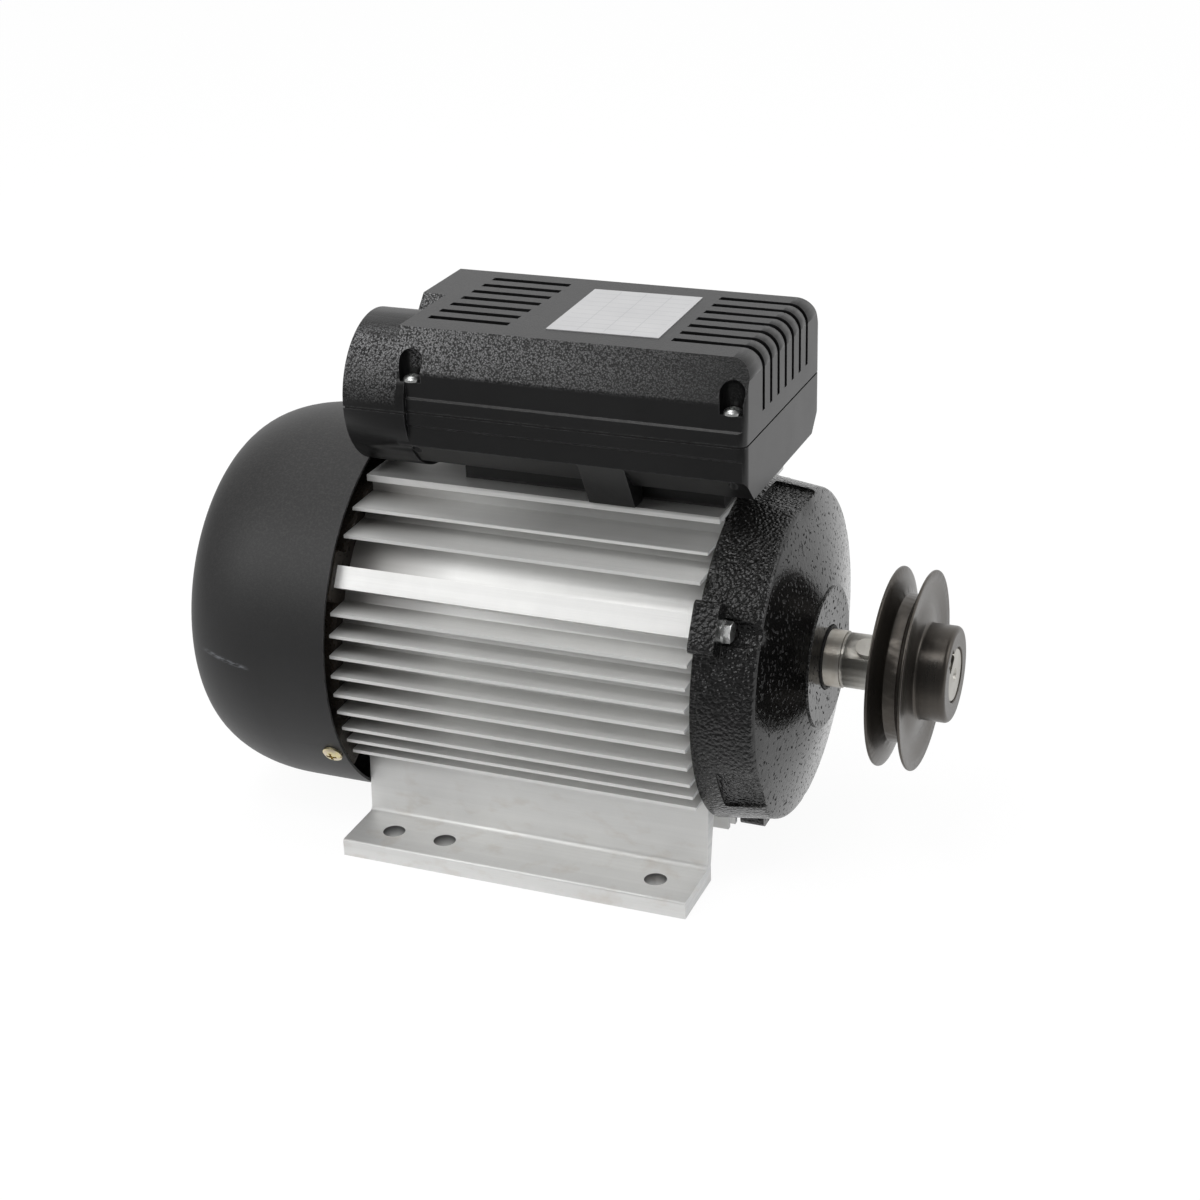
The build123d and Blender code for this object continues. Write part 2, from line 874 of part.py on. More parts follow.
def radial_slot(inner, outer):
    slot = SlotOverall(outer - inner, cover_slot_width)
    return extrude(Pos((inner + outer) / 2, 0) * slot, 4 * cover_wall, both=True)


def fan_cover():
    """Pressed bowl round the fan, open towards the motor, with air slots in its end."""
    bowl = axis_up * (revolve(cover_outline(0), Axis.X) - revolve(cover_outline(cover_wall), Axis.X))
    end = -(half_length + cover_rim_gap + cover_length)
    for i in range(cover_slot_count):
        turn = axis_up * Rot(i * 360 / cover_slot_count, 0, 0) * Pos(end, 0, 0) * Rot(0, -90, 0)
        bowl -= turn * radial_slot(cover_slot_inner, cover_slot_outer)
    for i in range(cover_hub_slot_count):
        turn = axis_up * Rot(i * 360 / cover_hub_slot_count, 0, 0) * Pos(end, 0, 0) * Rot(0, -90, 0)
        bowl -= turn * radial_slot(cover_hub_slot_inner, cover_hub_slot_outer)
    for angle in cover_screw_angles:
        hole = Rot(90, 0, 0) * Cylinder(cover_screw_radius + seat_gap, 6 * cover_wall)
        bowl -= around(angle, -(half_length + cover_screw_setback), cover_radius) * hole
    return bowl


def cover_screws():
    screw = pan_screw(cover_screw_radius, cover_screw_length, cover_screw_head_radius,
                      cover_screw_head_height)
    outwards = Rot(-90, 0, 0) * screw
    x = -(half_length + cover_screw_setback)
    return [around(angle, x, cover_radius + fit_gap) * outwards for angle in cover_screw_angles]


# V-belt pulley


def pulley():
    middle = (rear_rim + front_rim) / 2
    floor_half = belt_groove_floor / 2
    bore = shaft_end_radius + fit_gap
    outline = polygon(
        (pulley_hub_rear, bore),
        (pulley_hub_rear, pulley_hub_radius),
        (rear_rim + pulley_dish, pulley_web_radius),
        (rear_rim, pulley_radius),
        (rear_rim + rim_land, pulley_radius),
        (middle - floor_half, belt_groove_radius),
        (middle + floor_half, belt_groove_radius),
        (front_rim - rim_land, pulley_radius),
        (front_rim, pulley_radius),
        (front_rim - pulley_dish, pulley_web_radius),
        (front_rim, pulley_hub_radius),
        (pulley_hub_front, pulley_hub_radius),
        (pulley_hub_front, bore),
    )
    outline = fillet(nearest_vertex(outline, (front_rim, pulley_hub_radius, 0)), pulley_root_fillet)
    outline = fillet(nearest_vertex(outline, (pulley_hub_front, pulley_hub_radius, 0)), pulley_hub_round)
    wheel = axis_up * revolve(outline, Axis.X)
    key_top = shaft_end_radius - key_depth + key_height + seat_gap
    keyway = box_between(
        (pulley_hub_rear - overlap, -key_width / 2 - fit_gap, 0),
        (pulley_hub_front + overlap, key_width / 2 + fit_gap, key_top),
    )
    wheel -= on_key_side(keyway)
    hole = Cylinder(set_screw_radius + fit_gap, 2 * pulley_hub_radius,
                    align=(Align.CENTER, Align.CENTER, Align.MAX))
    return wheel - on_key_side(Pos(set_screw_x, 0, 0) * hole)


def pulley_set_screw():
    """Set screw bearing on the shaft opposite the key."""
    length = pulley_hub_radius - shaft_end_radius - set_screw_sunk
    tip = -shaft_end_radius - fit_gap
    screw = Pos(set_screw_x, 0, tip) * Cylinder(
        set_screw_radius, length, align=(Align.CENTER, Align.CENTER, Align.MAX))
    socket = hex_prism(set_screw_socket_across, 2 * length)
    socket_floor = tip - length + set_screw_socket_depth
    return on_key_side(screw - Pos(set_screw_x, 0, socket_floor) * Rot(180, 0, 0) * socket)


# Terminal and capacitor box: one moulded form, split at the seam into base and lid


def box_form(inset, floor_inset):
    """Outer form of the box and its humps, shrunk by an inset."""
    band = band_half_width - inset
    slant = slant_half_width - inset
    top = top_half_width - inset
    floor = floor_half_width - inset
    half = (
        (floor, box_floor + floor_inset),
        (slant, chamfer_top),
        (slant, band_bottom),
        (band, band_bottom + band_proud),
        (band, band_top - band_proud),
        (slant, band_top),
        (slant, shoulder_height),
        (top, box_top - inset),
    )
    section = polygon(*half, *[(-y, z) for y, z in reversed(half)])
    front = box_front - inset
    start = box_near_end + inset
    body = section_along_x(section, start, front)
    side_view = Pos((start + front) / 2, (box_floor + box_top) / 2 + (floor_inset - inset) / 2)
    side_shape = side_view * Rectangle(front - start, box_top - inset - box_floor - floor_inset)
    side_shape = fillet(nearest_vertex(side_shape, (front, box_top - inset, 0)), front_round - inset)
    body &= extrude(Plane.XZ * side_shape, 2 * band_half_width, both=True)
    plan = Pos((start + front) / 2, 0) * Rectangle(front - start, 2 * band)
    corners = [nearest_vertex(plan, (front, side * band, 0)) for side in (-1, 1)]
    plan = fillet(corners, front_corner_round - inset)
    body &= extrude(plan, 2 * box_top)
    hump = Pos(-hump_offset, hump_height) * Circle(hump_radius - inset)
    joined_end = box_near_end + 2 * box_wall
    body += section_along_x(hump, hump_end + inset, joined_end)
    far = polygon(
        (far_near_side + inset, box_top - inset),
        (top, box_top - inset),
        (slant, shoulder_height),
        (slant, chamfer_top),
        (floor, box_floor + floor_inset),
        (inset - hump_offset, box_floor + floor_inset),
        (far_near_side - far_slope + inset, box_top - far_slope),
    )
    return body + section_along_x(far, far_end + inset, joined_end)


def lid_screw_spots():
    return [(x, side * lid_screw_offset) for x in lid_screw_places for side in (-1, 1)]


def base_screw_spots():
    return [(x, side * base_screw_offset) for x in base_screw_places for side in (-1, 1)]


def vent_slots():
    """Slots in the top behind the label, and slots that run over the front edge and down the front."""
    reach = 2 * box_wall
    slots = []
    for i in range(slot_count):
        y = first_slot + i * slot_pitch
        shift = i * left_slot_stagger
        slots.append(box_between(
            (left_slot_start + shift, y - vent_width / 2, box_top - reach),
            (left_slot_end + shift, y + vent_width / 2, box_top + reach),
        ))
        plan = polygon(
            (right_slot_start, y - vent_width / 2),
            (box_front + reach, y - vent_foot_width / 2),
            (box_front + reach, y + vent_foot_width / 2),
            (right_slot_start, y + vent_width / 2),
        )
        slots.append(Pos(0, 0, right_slot_foot) * extrude(plan, box_top - right_slot_foot + reach))
    return slots


def capacitor_bays():
    """Room round the two capacitors, kept clear of the lid's screw columns."""
    bays = []
    for start, length, radius, y, z in capacitor_places():
        bay = Cylinder(radius + capacitor_clearance, length, align=(Align.CENTER, Align.CENTER, Align.MIN))
        bays.append(Pos(start, y, z) * along_x(bay))
    return bays


def above(height):
    """Half space above a height, as a large block."""
    reach = 3 * box_front
    return box_between((-reach, -reach, height), (reach, reach, height + reach))


def below(height):
    reach = 3 * box_front
    return box_between((-reach, -reach, height - reach), (reach, reach, height))


def screw_pocket(x, y):
    """Round-topped scoop over a lid screw."""
    dome_centre = pocket_top - pocket_radius
    well = Pos(x, y, screw_ledge) * Cylinder(
        pocket_radius, dome_centre - screw_ledge, align=(Align.CENTER, Align.CENTER, Align.MIN))
    return well + Pos(x, y, dome_centre) * Sphere(pocket_radius)


def box_lid():
    outer = box_form(0, 0)
    inner = box_form(box_wall, box_floor_thickness)
    lid = outer - inner
    for x, y in lid_screw_spots():
        column = Pos(x, y, box_split) * Cylinder(
            pocket_radius + column_wall, pocket_top - box_split,
            align=(Align.CENTER, Align.CENTER, Align.MIN))
        lid += column & outer
    lid &= above(box_split)
    for bay in capacitor_bays():
        lid -= bay
    for x, y in lid_screw_spots():
        lid -= screw_pocket(x, y)
        lid -= Pos(x, y, box_split) * Cylinder(lid_screw_radius + fit_gap, 2 * (pocket_top - box_split))
    for slot in vent_slots():
        lid -= slot
    return lid


def support_pillar(side):
    """Pillar that carries the box wall down to the edge of the top plate."""
    profile = polygon(
        (side * slant_half_width, chamfer_top),
        (side * tab_foot_outer, neck_bottom),
        (side * tab_foot_inner, neck_bottom),
        (side * tab_foot_inner, chamfer_top),
    )
    return section_along_x(profile, tab_start, tab_end)


def box_base():
    outer = box_form(0, 0)
    inner = box_form(box_wall, box_floor_thickness)
    neck = box_between(
        (neck_start, -neck_half_width, neck_bottom),
        (neck_end, neck_half_width, box_floor + overlap),
    )
    boss = Pos(gland_x, 0, gland_height) * Rot(-90, 0, 0) * Cylinder(
        gland_boss_radius, gland_boss_face, align=(Align.CENTER, Align.CENTER, Align.MIN))
    base = outer - inner + neck + support_pillar(-1) + support_pillar(1)
    base += boss - inner
    base -= inner
    for x, y in lid_screw_spots():
        column = Pos(x, y, box_floor) * Cylinder(
            base_column_radius, box_split - box_floor, align=(Align.CENTER, Align.CENTER, Align.MIN))
        base += column & outer
    base &= below(box_split - seam_gap)
    for x, y in lid_screw_spots():
        base -= Pos(x, y, box_split) * Cylinder(lid_screw_radius + fit_gap, 2 * lid_screw_length)
    floor_cut = 4 * box_floor_thickness + hole_reach
    for x, y in base_screw_spots():
        base -= Pos(x, y, box_floor) * Cylinder(base_screw_radius + seat_gap, floor_cut)
    base -= Pos(wire_hole_x, 0, box_floor) * Cylinder(wire_hole_radius, floor_cut)
    base -= Pos(earth_screw_x, earth_screw_y, box_floor) * Cylinder(
        base_screw_radius + fit_gap, 4 * box_floor_thickness)
    thread = Rot(90, 0, 0) * Cylinder(gland_thread_radius + fit_gap, 2 * hole_reach)
    return base - Pos(gland_x, gland_boss_face, gland_height) * thread


def box_gasket():
    """Thin seal in the seam between base and lid, set back from the outer face."""
    band = box_form(seam_inset, 0) - box_form(box_wall, box_floor_thickness)
    band &= above(box_split - seam_gap) & below(box_split)
    for x, y in lid_screw_spots():
        band -= Pos(x, y, box_split) * Cylinder(lid_screw_radius + fit_gap, hole_reach)
    return band


def base_gasket():
    sheet = box_between(
        (neck_start, -neck_half_width, plate_top_z),
        (neck_end, neck_half_width, neck_bottom),
    )
    for x, y in base_screw_spots():
        sheet -= Pos(x, y, plate_top_z) * Cylinder(base_screw_radius + seat_gap, hole_reach)
    return sheet - Pos(wire_hole_x, 0, plate_top_z) * Cylinder(wire_hole_radius, hole_reach)


def lid_screws():
    screw = pan_screw(lid_screw_radius, lid_screw_length, lid_screw_head_radius, lid_screw_head_height)
    return [Pos(x, y, screw_ledge) * screw for x, y in lid_screw_spots()]


def base_screws():
    floor_top = box_floor + box_floor_thickness
    length = floor_top - plate_top_z + base_screw_engagement
    screw = pan_screw(base_screw_radius, length, base_screw_head_radius, base_screw_head_height)
    return [Pos(x, y, floor_top) * screw for x, y in base_screw_spots()]


def rating_label():
    """Blank sheet, stuck on a little askew."""
    sheet = Box(label_length, label_width, label_thickness, align=(Align.CENTER, Align.CENTER, Align.MIN))
    return Pos(label_middle, 0, box_top) * Rot(0, 0, label_turn) * sheet


# What the box holds


def start_capacitor_height():
    return box_floor + box_floor_thickness + start_capacitor_radius + 2 * clip_strap_thickness


def capacitor_places():
    """Start, length, radius and centre line of the run and the start capacitor."""
    run = (run_capacitor_start, run_capacitor_length, run_capacitor_radius, -hump_offset, hump_height)
    start = (start_capacitor_start, start_capacitor_length, start_capacitor_radius,
             start_capacitor_offset, start_capacitor_height())
    return run, start


def capacitor(start, length, radius, y, z):
    can = Cylinder(radius, length, align=(Align.CENTER, Align.CENTER, Align.MIN))
    can = fillet(can.edges().filter_by(GeomType.CIRCLE), capacitor_edge_round)
    tab = Box(capacitor_tab_width, capacitor_tab_thickness, capacitor_tab_length,
              align=(Align.CENTER, Align.CENTER, Align.MIN))
    for side in (-1, 1):
        can += Pos(0, side * radius / 3, length) * tab
    return Pos(start, y, z) * along_x(can)


def capacitor_clips():
    """One strap round each capacitor, standing on the box floor."""
    clips = []
    floor_top = box_floor + box_floor_thickness
    for _, _, radius, y, z in capacitor_places():
        inner = radius + fit_gap
        strap = Circle(inner + clip_strap_thickness)
        foot_bottom = floor_top - z
        foot = Pos(0, foot_bottom) * Rectangle(radius, -foot_bottom, align=(Align.CENTER, Align.MIN))
        section = strap + foot - Circle(inner)
        clips.append(section_along_x(Pos(y, z) * section, clip_start, clip_start + clip_strap_width))
    return clips


def stud_spots():
    middle = (board_start + board_end) / 2
    first = -(stud_count - 1) / 2 * stud_pitch
    return [
        (middle + row * stud_row_gap / 2, first + i * stud_pitch)
        for row in (-1, 1)
        for i in range(stud_count)
    ]


def board_top():
    return box_floor + box_floor_thickness + board_height


def terminal_board():
    floor_top = box_floor + box_floor_thickness
    board = box_between((board_start, -board_half_width, floor_top),
                        (board_end, board_half_width, board_top()))
    hollow = box_between(
        (board_start - overlap, -board_half_width + board_foot, floor_top - overlap),
        (board_end + overlap, board_half_width - board_foot, board_top() - board_height / 2),
    )
    board -= hollow
    for x, y in stud_spots():
        board -= Pos(x, y, board_top()) * Cylinder(stud_radius + fit_gap, 2 * board_height)
    return board


def terminal_studs():
    seat = board_top() - board_height / 2
    stud = Cylinder(stud_radius, stud_height + board_height / 2,
                    align=(Align.CENTER, Align.CENTER, Align.MIN))
    return [Pos(x, y, seat) * stud for x, y in stud_spots()]


def terminal_links():
    """Two flat links, each across one pair of studs."""
    links = []
    middle = (board_start + board_end) / 2
    for y in (stud_spots()[0][1], stud_spots()[stud_count - 1][1]):
        strip = SlotCenterToCenter(stud_row_gap, link_width)
        for side in (-1, 1):
            strip -= Pos(side * stud_row_gap / 2, 0) * Circle(stud_radius + fit_gap)
        links.append(Pos(middle, y, board_top()) * extrude(strip, link_thickness))
    return links


def terminal_nuts():
    nut = hex_head(nut_across, nut_height) - Cylinder(stud_radius + fit_gap, 4 * nut_height)
    return [Pos(x, y, board_top() + link_thickness) * nut for x, y in stud_spots()]


def earth_screw():
    floor_top = box_floor + box_floor_thickness
    screw = pan_screw(base_screw_radius, box_floor_thickness, base_screw_head_radius, base_screw_head_height)
    return Pos(earth_screw_x, earth_screw_y, floor_top) * screw


def cable_gland():
    """Moulded gland through the far wall of the base, with its clamping cap."""
    outer = hex_prism(gland_across, gland_flange)
    cap = Cylinder(gland_across / 2 - gland_cap_inset, gland_cap_length - gland_flange,
                   align=(Align.CENTER, Align.CENTER, Align.MIN))
    outer += Pos(0, 0, gland_flange) * cap
    outer = fillet(outer.edges().sort_by(Axis.Z)[-1], gland_cap_round)
    outer += Cylinder(gland_thread_radius, gland_inner_length, align=(Align.CENTER, Align.CENTER, Align.MAX))
    outer -= Cylinder(gland_bore_radius, 6 * gland_cap_length)
    return Pos(gland_x, gland_boss_face, gland_height) * Rot(-90, 0, 0) * outer


PARTS = {
    "housing": housing,
    "stator_core": stator_core,
    "stator_windings": stator_windings,
    "drive_shield": drive_shield,
    "rear_shield": rear_shield,
    "drive_shield_bolts": shield_bolts,
    "drive_shield_washers": shield_washers,
    "rear_shield_bolts": lambda: [flip_x(bolt) for bolt in shield_bolts()],
    "rear_shield_washers": lambda: [flip_x(washer) for washer in shield_washers()],
    "drive_bearing_outer": lambda: bearing_outer_ring(drive_bearing_start),
    "drive_bearing_inner": lambda: bearing_inner_ring(drive_bearing_start),
    "drive_bearing_balls": lambda: bearing_balls(drive_bearing_start),
    "rear_bearing_outer": lambda: flip_x(bearing_outer_ring(rear_bearing_start)),
    "rear_bearing_inner": lambda: flip_x(bearing_inner_ring(rear_bearing_start)),
    "rear_bearing_balls": lambda: flip_x(bearing_balls(rear_bearing_start)),
    "wave_washer": wave_washer,
    "shaft_seal": shaft_seal,
    "shaft": shaft,
    "pulley_key": pulley_key,
    "rotor_core": rotor_core,
    "rotor_cage": rotor_cage,
    "governor": governor,
    "governor_collar": governor_collar,
    "switch_board": switch_board,
    "switch_contacts": switch_contacts,
    "fan": fan,
    "fan_clip": fan_clip,
    "fan_cover": fan_cover,
    "fan_cover_screws": cover_screws,
    "pulley": pulley,
    "pulley_set_screw": pulley_set_screw,
    "box_base": box_base,
    "box_lid": box_lid,
    "box_gasket": box_gasket,
    "base_gasket": base_gasket,
    "lid_screws": lid_screws,
    "base_screws": base_screws,
    "rating_label": rating_label,
    "run_capacitor": lambda: capacitor(*capacitor_places()[0]),
    "start_capacitor": lambda: capacitor(*capacitor_places()[1]),
    "capacitor_clips": capacitor_clips,
    "terminal_board": terminal_board,
    "terminal_studs": terminal_studs,
    "terminal_links": terminal_links,
    "terminal_nuts": terminal_nuts,
    "earth_screw": earth_screw,
    "cable_gland": cable_gland,
}

os.makedirs("parts", exist_ok=True)
for name, make in PARTS.items():
    made = make()
    pieces = made if isinstance(made, list) else [made]
    solids = [solid for piece in pieces for solid in piece.solids()]
    node = solids[0] if len(solids) == 1 else Compound(children=solids)
    export_step(node, f"parts/{name}.step")
    print(name, len(solids), "solids", round(node.volume, 1), "mm3")
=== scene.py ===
import json
import math

import bmesh
import bpy
from mathutils import Matrix, Vector


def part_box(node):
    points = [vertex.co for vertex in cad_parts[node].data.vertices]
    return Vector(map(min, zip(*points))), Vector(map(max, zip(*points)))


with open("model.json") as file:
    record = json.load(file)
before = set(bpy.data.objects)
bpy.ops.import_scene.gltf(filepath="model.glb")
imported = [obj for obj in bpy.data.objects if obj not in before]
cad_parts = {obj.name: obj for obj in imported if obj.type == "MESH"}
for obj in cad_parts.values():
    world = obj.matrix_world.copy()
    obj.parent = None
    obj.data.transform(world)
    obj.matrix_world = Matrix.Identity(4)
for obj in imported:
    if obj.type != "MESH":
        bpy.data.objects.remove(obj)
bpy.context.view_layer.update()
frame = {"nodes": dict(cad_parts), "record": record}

nodes = frame["nodes"]
print("frame loaded,", len(nodes), "nodes")

# the angle, distance and lens from which the motor was photographed
view = {
    "azimuth": 22.54,
    "elevation": 24.49,
    "roll": -1.869,
    "aimRight": 0.0110,
    "aimUp": 0.0909,
    "distance": 1.0352,
    "lens": 66.57,
    "sensorWidth": 36,
    "nearClip": 0.05,
}


def makeCamera():
    camera = bpy.data.objects.new("photoCamera", bpy.data.cameras.new("photoCamera"))
    bpy.context.scene.collection.objects.link(camera)
    turn = Matrix.Rotation(math.radians(view["azimuth"]), 4, "Z")
    turn @= Matrix.Rotation(math.radians(90 - view["elevation"]), 4, "X")
    place = Matrix.Translation(turn @ Vector((view["aimRight"], view["aimUp"], view["distance"])))
    camera.matrix_world = place @ turn @ Matrix.Rotation(math.radians(view["roll"]), 4, "Z")
    camera.data.lens = view["lens"]
    camera.data.sensor_width = view["sensorWidth"]
    camera.data.clip_start = view["nearClip"]
    bpy.context.scene.camera = camera


# shader node helpers
def plug(tree, value, socket):
    if isinstance(value, bpy.types.NodeSocket):
        tree.links.new(value, socket)
    elif isinstance(value, tuple) and socket.type == "RGBA":
        socket.default_value = (*value, 1)
    else:
        socket.default_value = value


def addNode(tree, kind, inputs=None, **settings):
    made = tree.nodes.new("ShaderNode" + kind)
    for name, value in settings.items():
        setattr(made, name, value)
    for name, value in (inputs or {}).items():
        plug(tree, value, made.inputs[name])
    return made


def doMath(tree, operation, first, second=0.0, clamp=False):
    return addNode(tree, "Math", {0: first, 1: second}, operation=operation, use_clamp=clamp).outputs[0]


def times(tree, first, *others):
    for other in others:
        first = doMath(tree, "MULTIPLY", first, other, True)
    return first


def unsigned(tree, value):
    return doMath(tree, "ABSOLUTE", value)


def opposite(tree, mask):
    return doMath(tree, "SUBTRACT", 1.0, mask)


def remap(tree, value, low, high, newLow=0.0, newHigh=1.0):
    given = {0: value, 1: low, 2: high, 3: newLow, 4: newHigh}
    return addNode(tree, "MapRange", given).outputs[0]


def blendColour(tree, mask, first, second):
    return addNode(tree, "Mix", {0: mask, 6: first, 7: second}, data_type="RGBA").outputs[2]


def blendValue(tree, mask, first, second):
    return addNode(tree, "Mix", {0: mask, 2: first, 3: second}).outputs[0]


def vectorLength(tree, vector):
    return addNode(tree, "VectorMath", {0: vector}, operation="LENGTH").outputs["Value"]


def objectPlace(tree, scale=(1, 1, 1), move=(0, 0, 0)):
    place = addNode(tree, "TexCoord").outputs["Object"]
    return addNode(tree, "Mapping", {0: place, 1: move, 3: scale}).outputs[0]


def noise(tree, vector, scale, detail=3.0, rough=0.55):
    given = {"Vector": vector, "Scale": scale, "Detail": detail, "Roughness": rough}
    return addNode(tree, "TexNoise", given).outputs[0]


def splitVector(tree, vector):
    return addNode(tree, "SeparateXYZ", {0: vector}).outputs


def splitNormal(tree):
    return splitVector(tree, addNode(tree, "TexCoord").outputs["Normal"])


def newGroup(name, inputs, outputs):
    group = bpy.data.node_groups.new(name, "ShaderNodeTree")
    for label, value in inputs.items():
        kind = "NodeSocketVector" if value is None else "NodeSocketFloat"
        socket = group.interface.new_socket(label, in_out="INPUT", socket_type=kind)
        if value is not None:
            socket.default_value = value
    for label in outputs:
        group.interface.new_socket(label, in_out="OUTPUT", socket_type="NodeSocketFloat")
    return group, group.nodes.new("NodeGroupInput").outputs, group.nodes.new("NodeGroupOutput").inputs


def useGroup(tree, group, **inputs):
    made = tree.nodes.new("ShaderNodeGroup")
    made.node_tree = group
    for name, value in inputs.items():
        plug(tree, value, made.inputs[name])
    return made.outputs


# how the shared effects look: ranges are where each mask starts and where it is full
effects = {
    "edgeLikeness": (0.995, 0.86),
    "gritScale": 420.0,
    "gritRange": (0.36, 0.6),
    "pebbleDrift": 0.001,
    "pebbleSmoothness": 0.25,
    "finePebbles": 2.3,
    "lineRange": (0.3, 0.7),
    "bandShare": 0.16,
    "cloudRange": (0.3, 0.7),
    "dustSlope": (0.1, 1.0),
    "dustScale": 900.0,
    "dustRange": (0.45, 0.7, 0.2, 1.0),
}


# wear where a surface turns sharply, broken up by grit
def edgeWearGroup():
    group, given, result = newGroup("edgeWear", {"radius": 0.0008, "amount": 1.0}, ["mask"])
    rounded = addNode(group, "Bevel", {"Radius": given["radius"]}, samples=4).outputs[0]
    flat = addNode(group, "NewGeometry").outputs["Normal"]
    likeness = addNode(group, "VectorMath", {0: rounded, 1: flat}, operation="DOT_PRODUCT").outputs["Value"]
    edge = remap(group, likeness, *effects["edgeLikeness"])
    grit = remap(group, noise(group, objectPlace(group), effects["gritScale"], 4), *effects["gritRange"])
    group.links.new(times(group, edge, grit, given["amount"]), result["mask"])
    return group


# rounded pebbles, as sand leaves on a casting or a mould on plastic
def pebbleGroup():
    group, given, result = newGroup("pebbles", {"scale": 500.0, "fineShare": 0.35}, ["height"])
    place = objectPlace(group)
    drift = addNode(group, "TexNoise", {"Vector": place, "Scale": given["scale"], "Detail": 1.0}).outputs[1]
    drift = addNode(group, "VectorMath", {0: drift, "Scale": effects["pebbleDrift"]}, operation="SCALE")
    moved = addNode(group, "VectorMath", {0: place, 1: drift.outputs[0]}, operation="ADD").outputs[0]
    cells = addNode(group, "TexVoronoi", {"Vector": moved, "Scale": given["scale"],
                                          "Smoothness": effects["pebbleSmoothness"]},
                    feature="SMOOTH_F1").outputs["Distance"]
    fine = noise(group, place, doMath(group, "MULTIPLY", given["scale"], effects["finePebbles"]))
    height = blendValue(group, given["fineShare"], opposite(group, cells), fine)
    group.links.new(height, result["height"])
    return group


# long fine lines from a die, a lathe or a grinder, in whichever direction the vector is stretched
def toolLineGroup():
    group, given, result = newGroup("toolLines", {"vector": None, "scale": 1.0}, ["lines", "bands"])
    lines = noise(group, given["vector"], given["scale"], 5.0, 0.7)
    wide = doMath(group, "MULTIPLY", given["scale"], effects["bandShare"])
    bands = noise(group, given["vector"], wide, 2.0)
    group.links.new(remap(group, lines, *effects["lineRange"]), result["lines"])
    group.links.new(remap(group, bands, *effects["lineRange"]), result["bands"])
    return group


# handling clouds, and dust on what faces up
def handlingGroup():
    group, given, result = newGroup("handling", {"size": 18.0, "dustAmount": 0.3}, ["cloud", "dust"])
    place = objectPlace(group)
    clouds = noise(group, place, given["size"], 5.0, 0.62)
    group.links.new(remap(group, clouds, *effects["cloudRange"]), result["cloud"])
    upward = remap(group, splitNormal(group)[2], *effects["dustSlope"])
    grains = remap(group, noise(group, place, effects["dustScale"], 3.0, 0.7), *effects["dustRange"])
    group.links.new(times(group, upward, grains, given["dustAmount"]), result["dust"])
    return group


edgeWear = edgeWearGroup()
pebbles = pebbleGroup()
toolLines = toolLineGroup()
handling = handlingGroup()
print("effect groups made")


def newMaterial(name, metallic=0.0, specular=0.5):
    material = bpy.data.materials.new(name)
    material.use_nodes = True
    shader = material.node_tree.nodes["Principled BSDF"]
    shader.inputs["Metallic"].default_value = metallic
    shader.inputs["Specular IOR Level"].default_value = specular
    return material, material.node_tree, shader


def addBump(tree, shader, height, strength, depth):
    bump = addNode(tree, "Bump", {"Strength": strength, "Distance": depth, "Height": height})
    earlier = shader.inputs["Normal"].links
    if earlier:
        tree.links.new(earlier[0].from_socket, bump.inputs["Normal"])
    tree.links.new(bump.outputs[0], shader.inputs["Normal"])


dustLook = {
    "colour": (0.45, 0.43, 0.4),
    "roughness": 0.8,
}


# colour and roughness that every finish shares: clouds of two tones, worn edges and a little dust
def layerSurface(tree, shader, look):
    hands = useGroup(tree, handling, size=look["cloudSize"], dustAmount=look["dust"])
    worn = useGroup(tree, edgeWear, radius=look["edgeRadius"], amount=look["wear"])[0]
    colour = blendColour(tree, hands["cloud"], look["colour"], look["otherColour"])
    colour = blendColour(tree, worn, colour, look["edgeColour"])
    colour = blendColour(tree, hands["dust"], colour, dustLook["colour"])
    rough = blendValue(tree, hands["cloud"], *look["roughness"])
    rough = blendValue(tree, hands["dust"], rough, dustLook["roughness"])
    plug(tree, colour, shader.inputs["Base Color"])
    plug(tree, rough, shader.inputs["Roughness"])


# lays another colour and roughness over what the surface has, where the mask says
def overlay(tree, shader, mask, colour, roughness=None):
    below = shader.inputs["Base Color"].links[0].from_socket
    plug(tree, blendColour(tree, mask, below, colour), shader.inputs["Base Color"])
    if roughness is not None:
        below = shader.inputs["Roughness"].links[0].from_socket
        plug(tree, blendValue(tree, mask, below, roughness), shader.inputs["Roughness"])


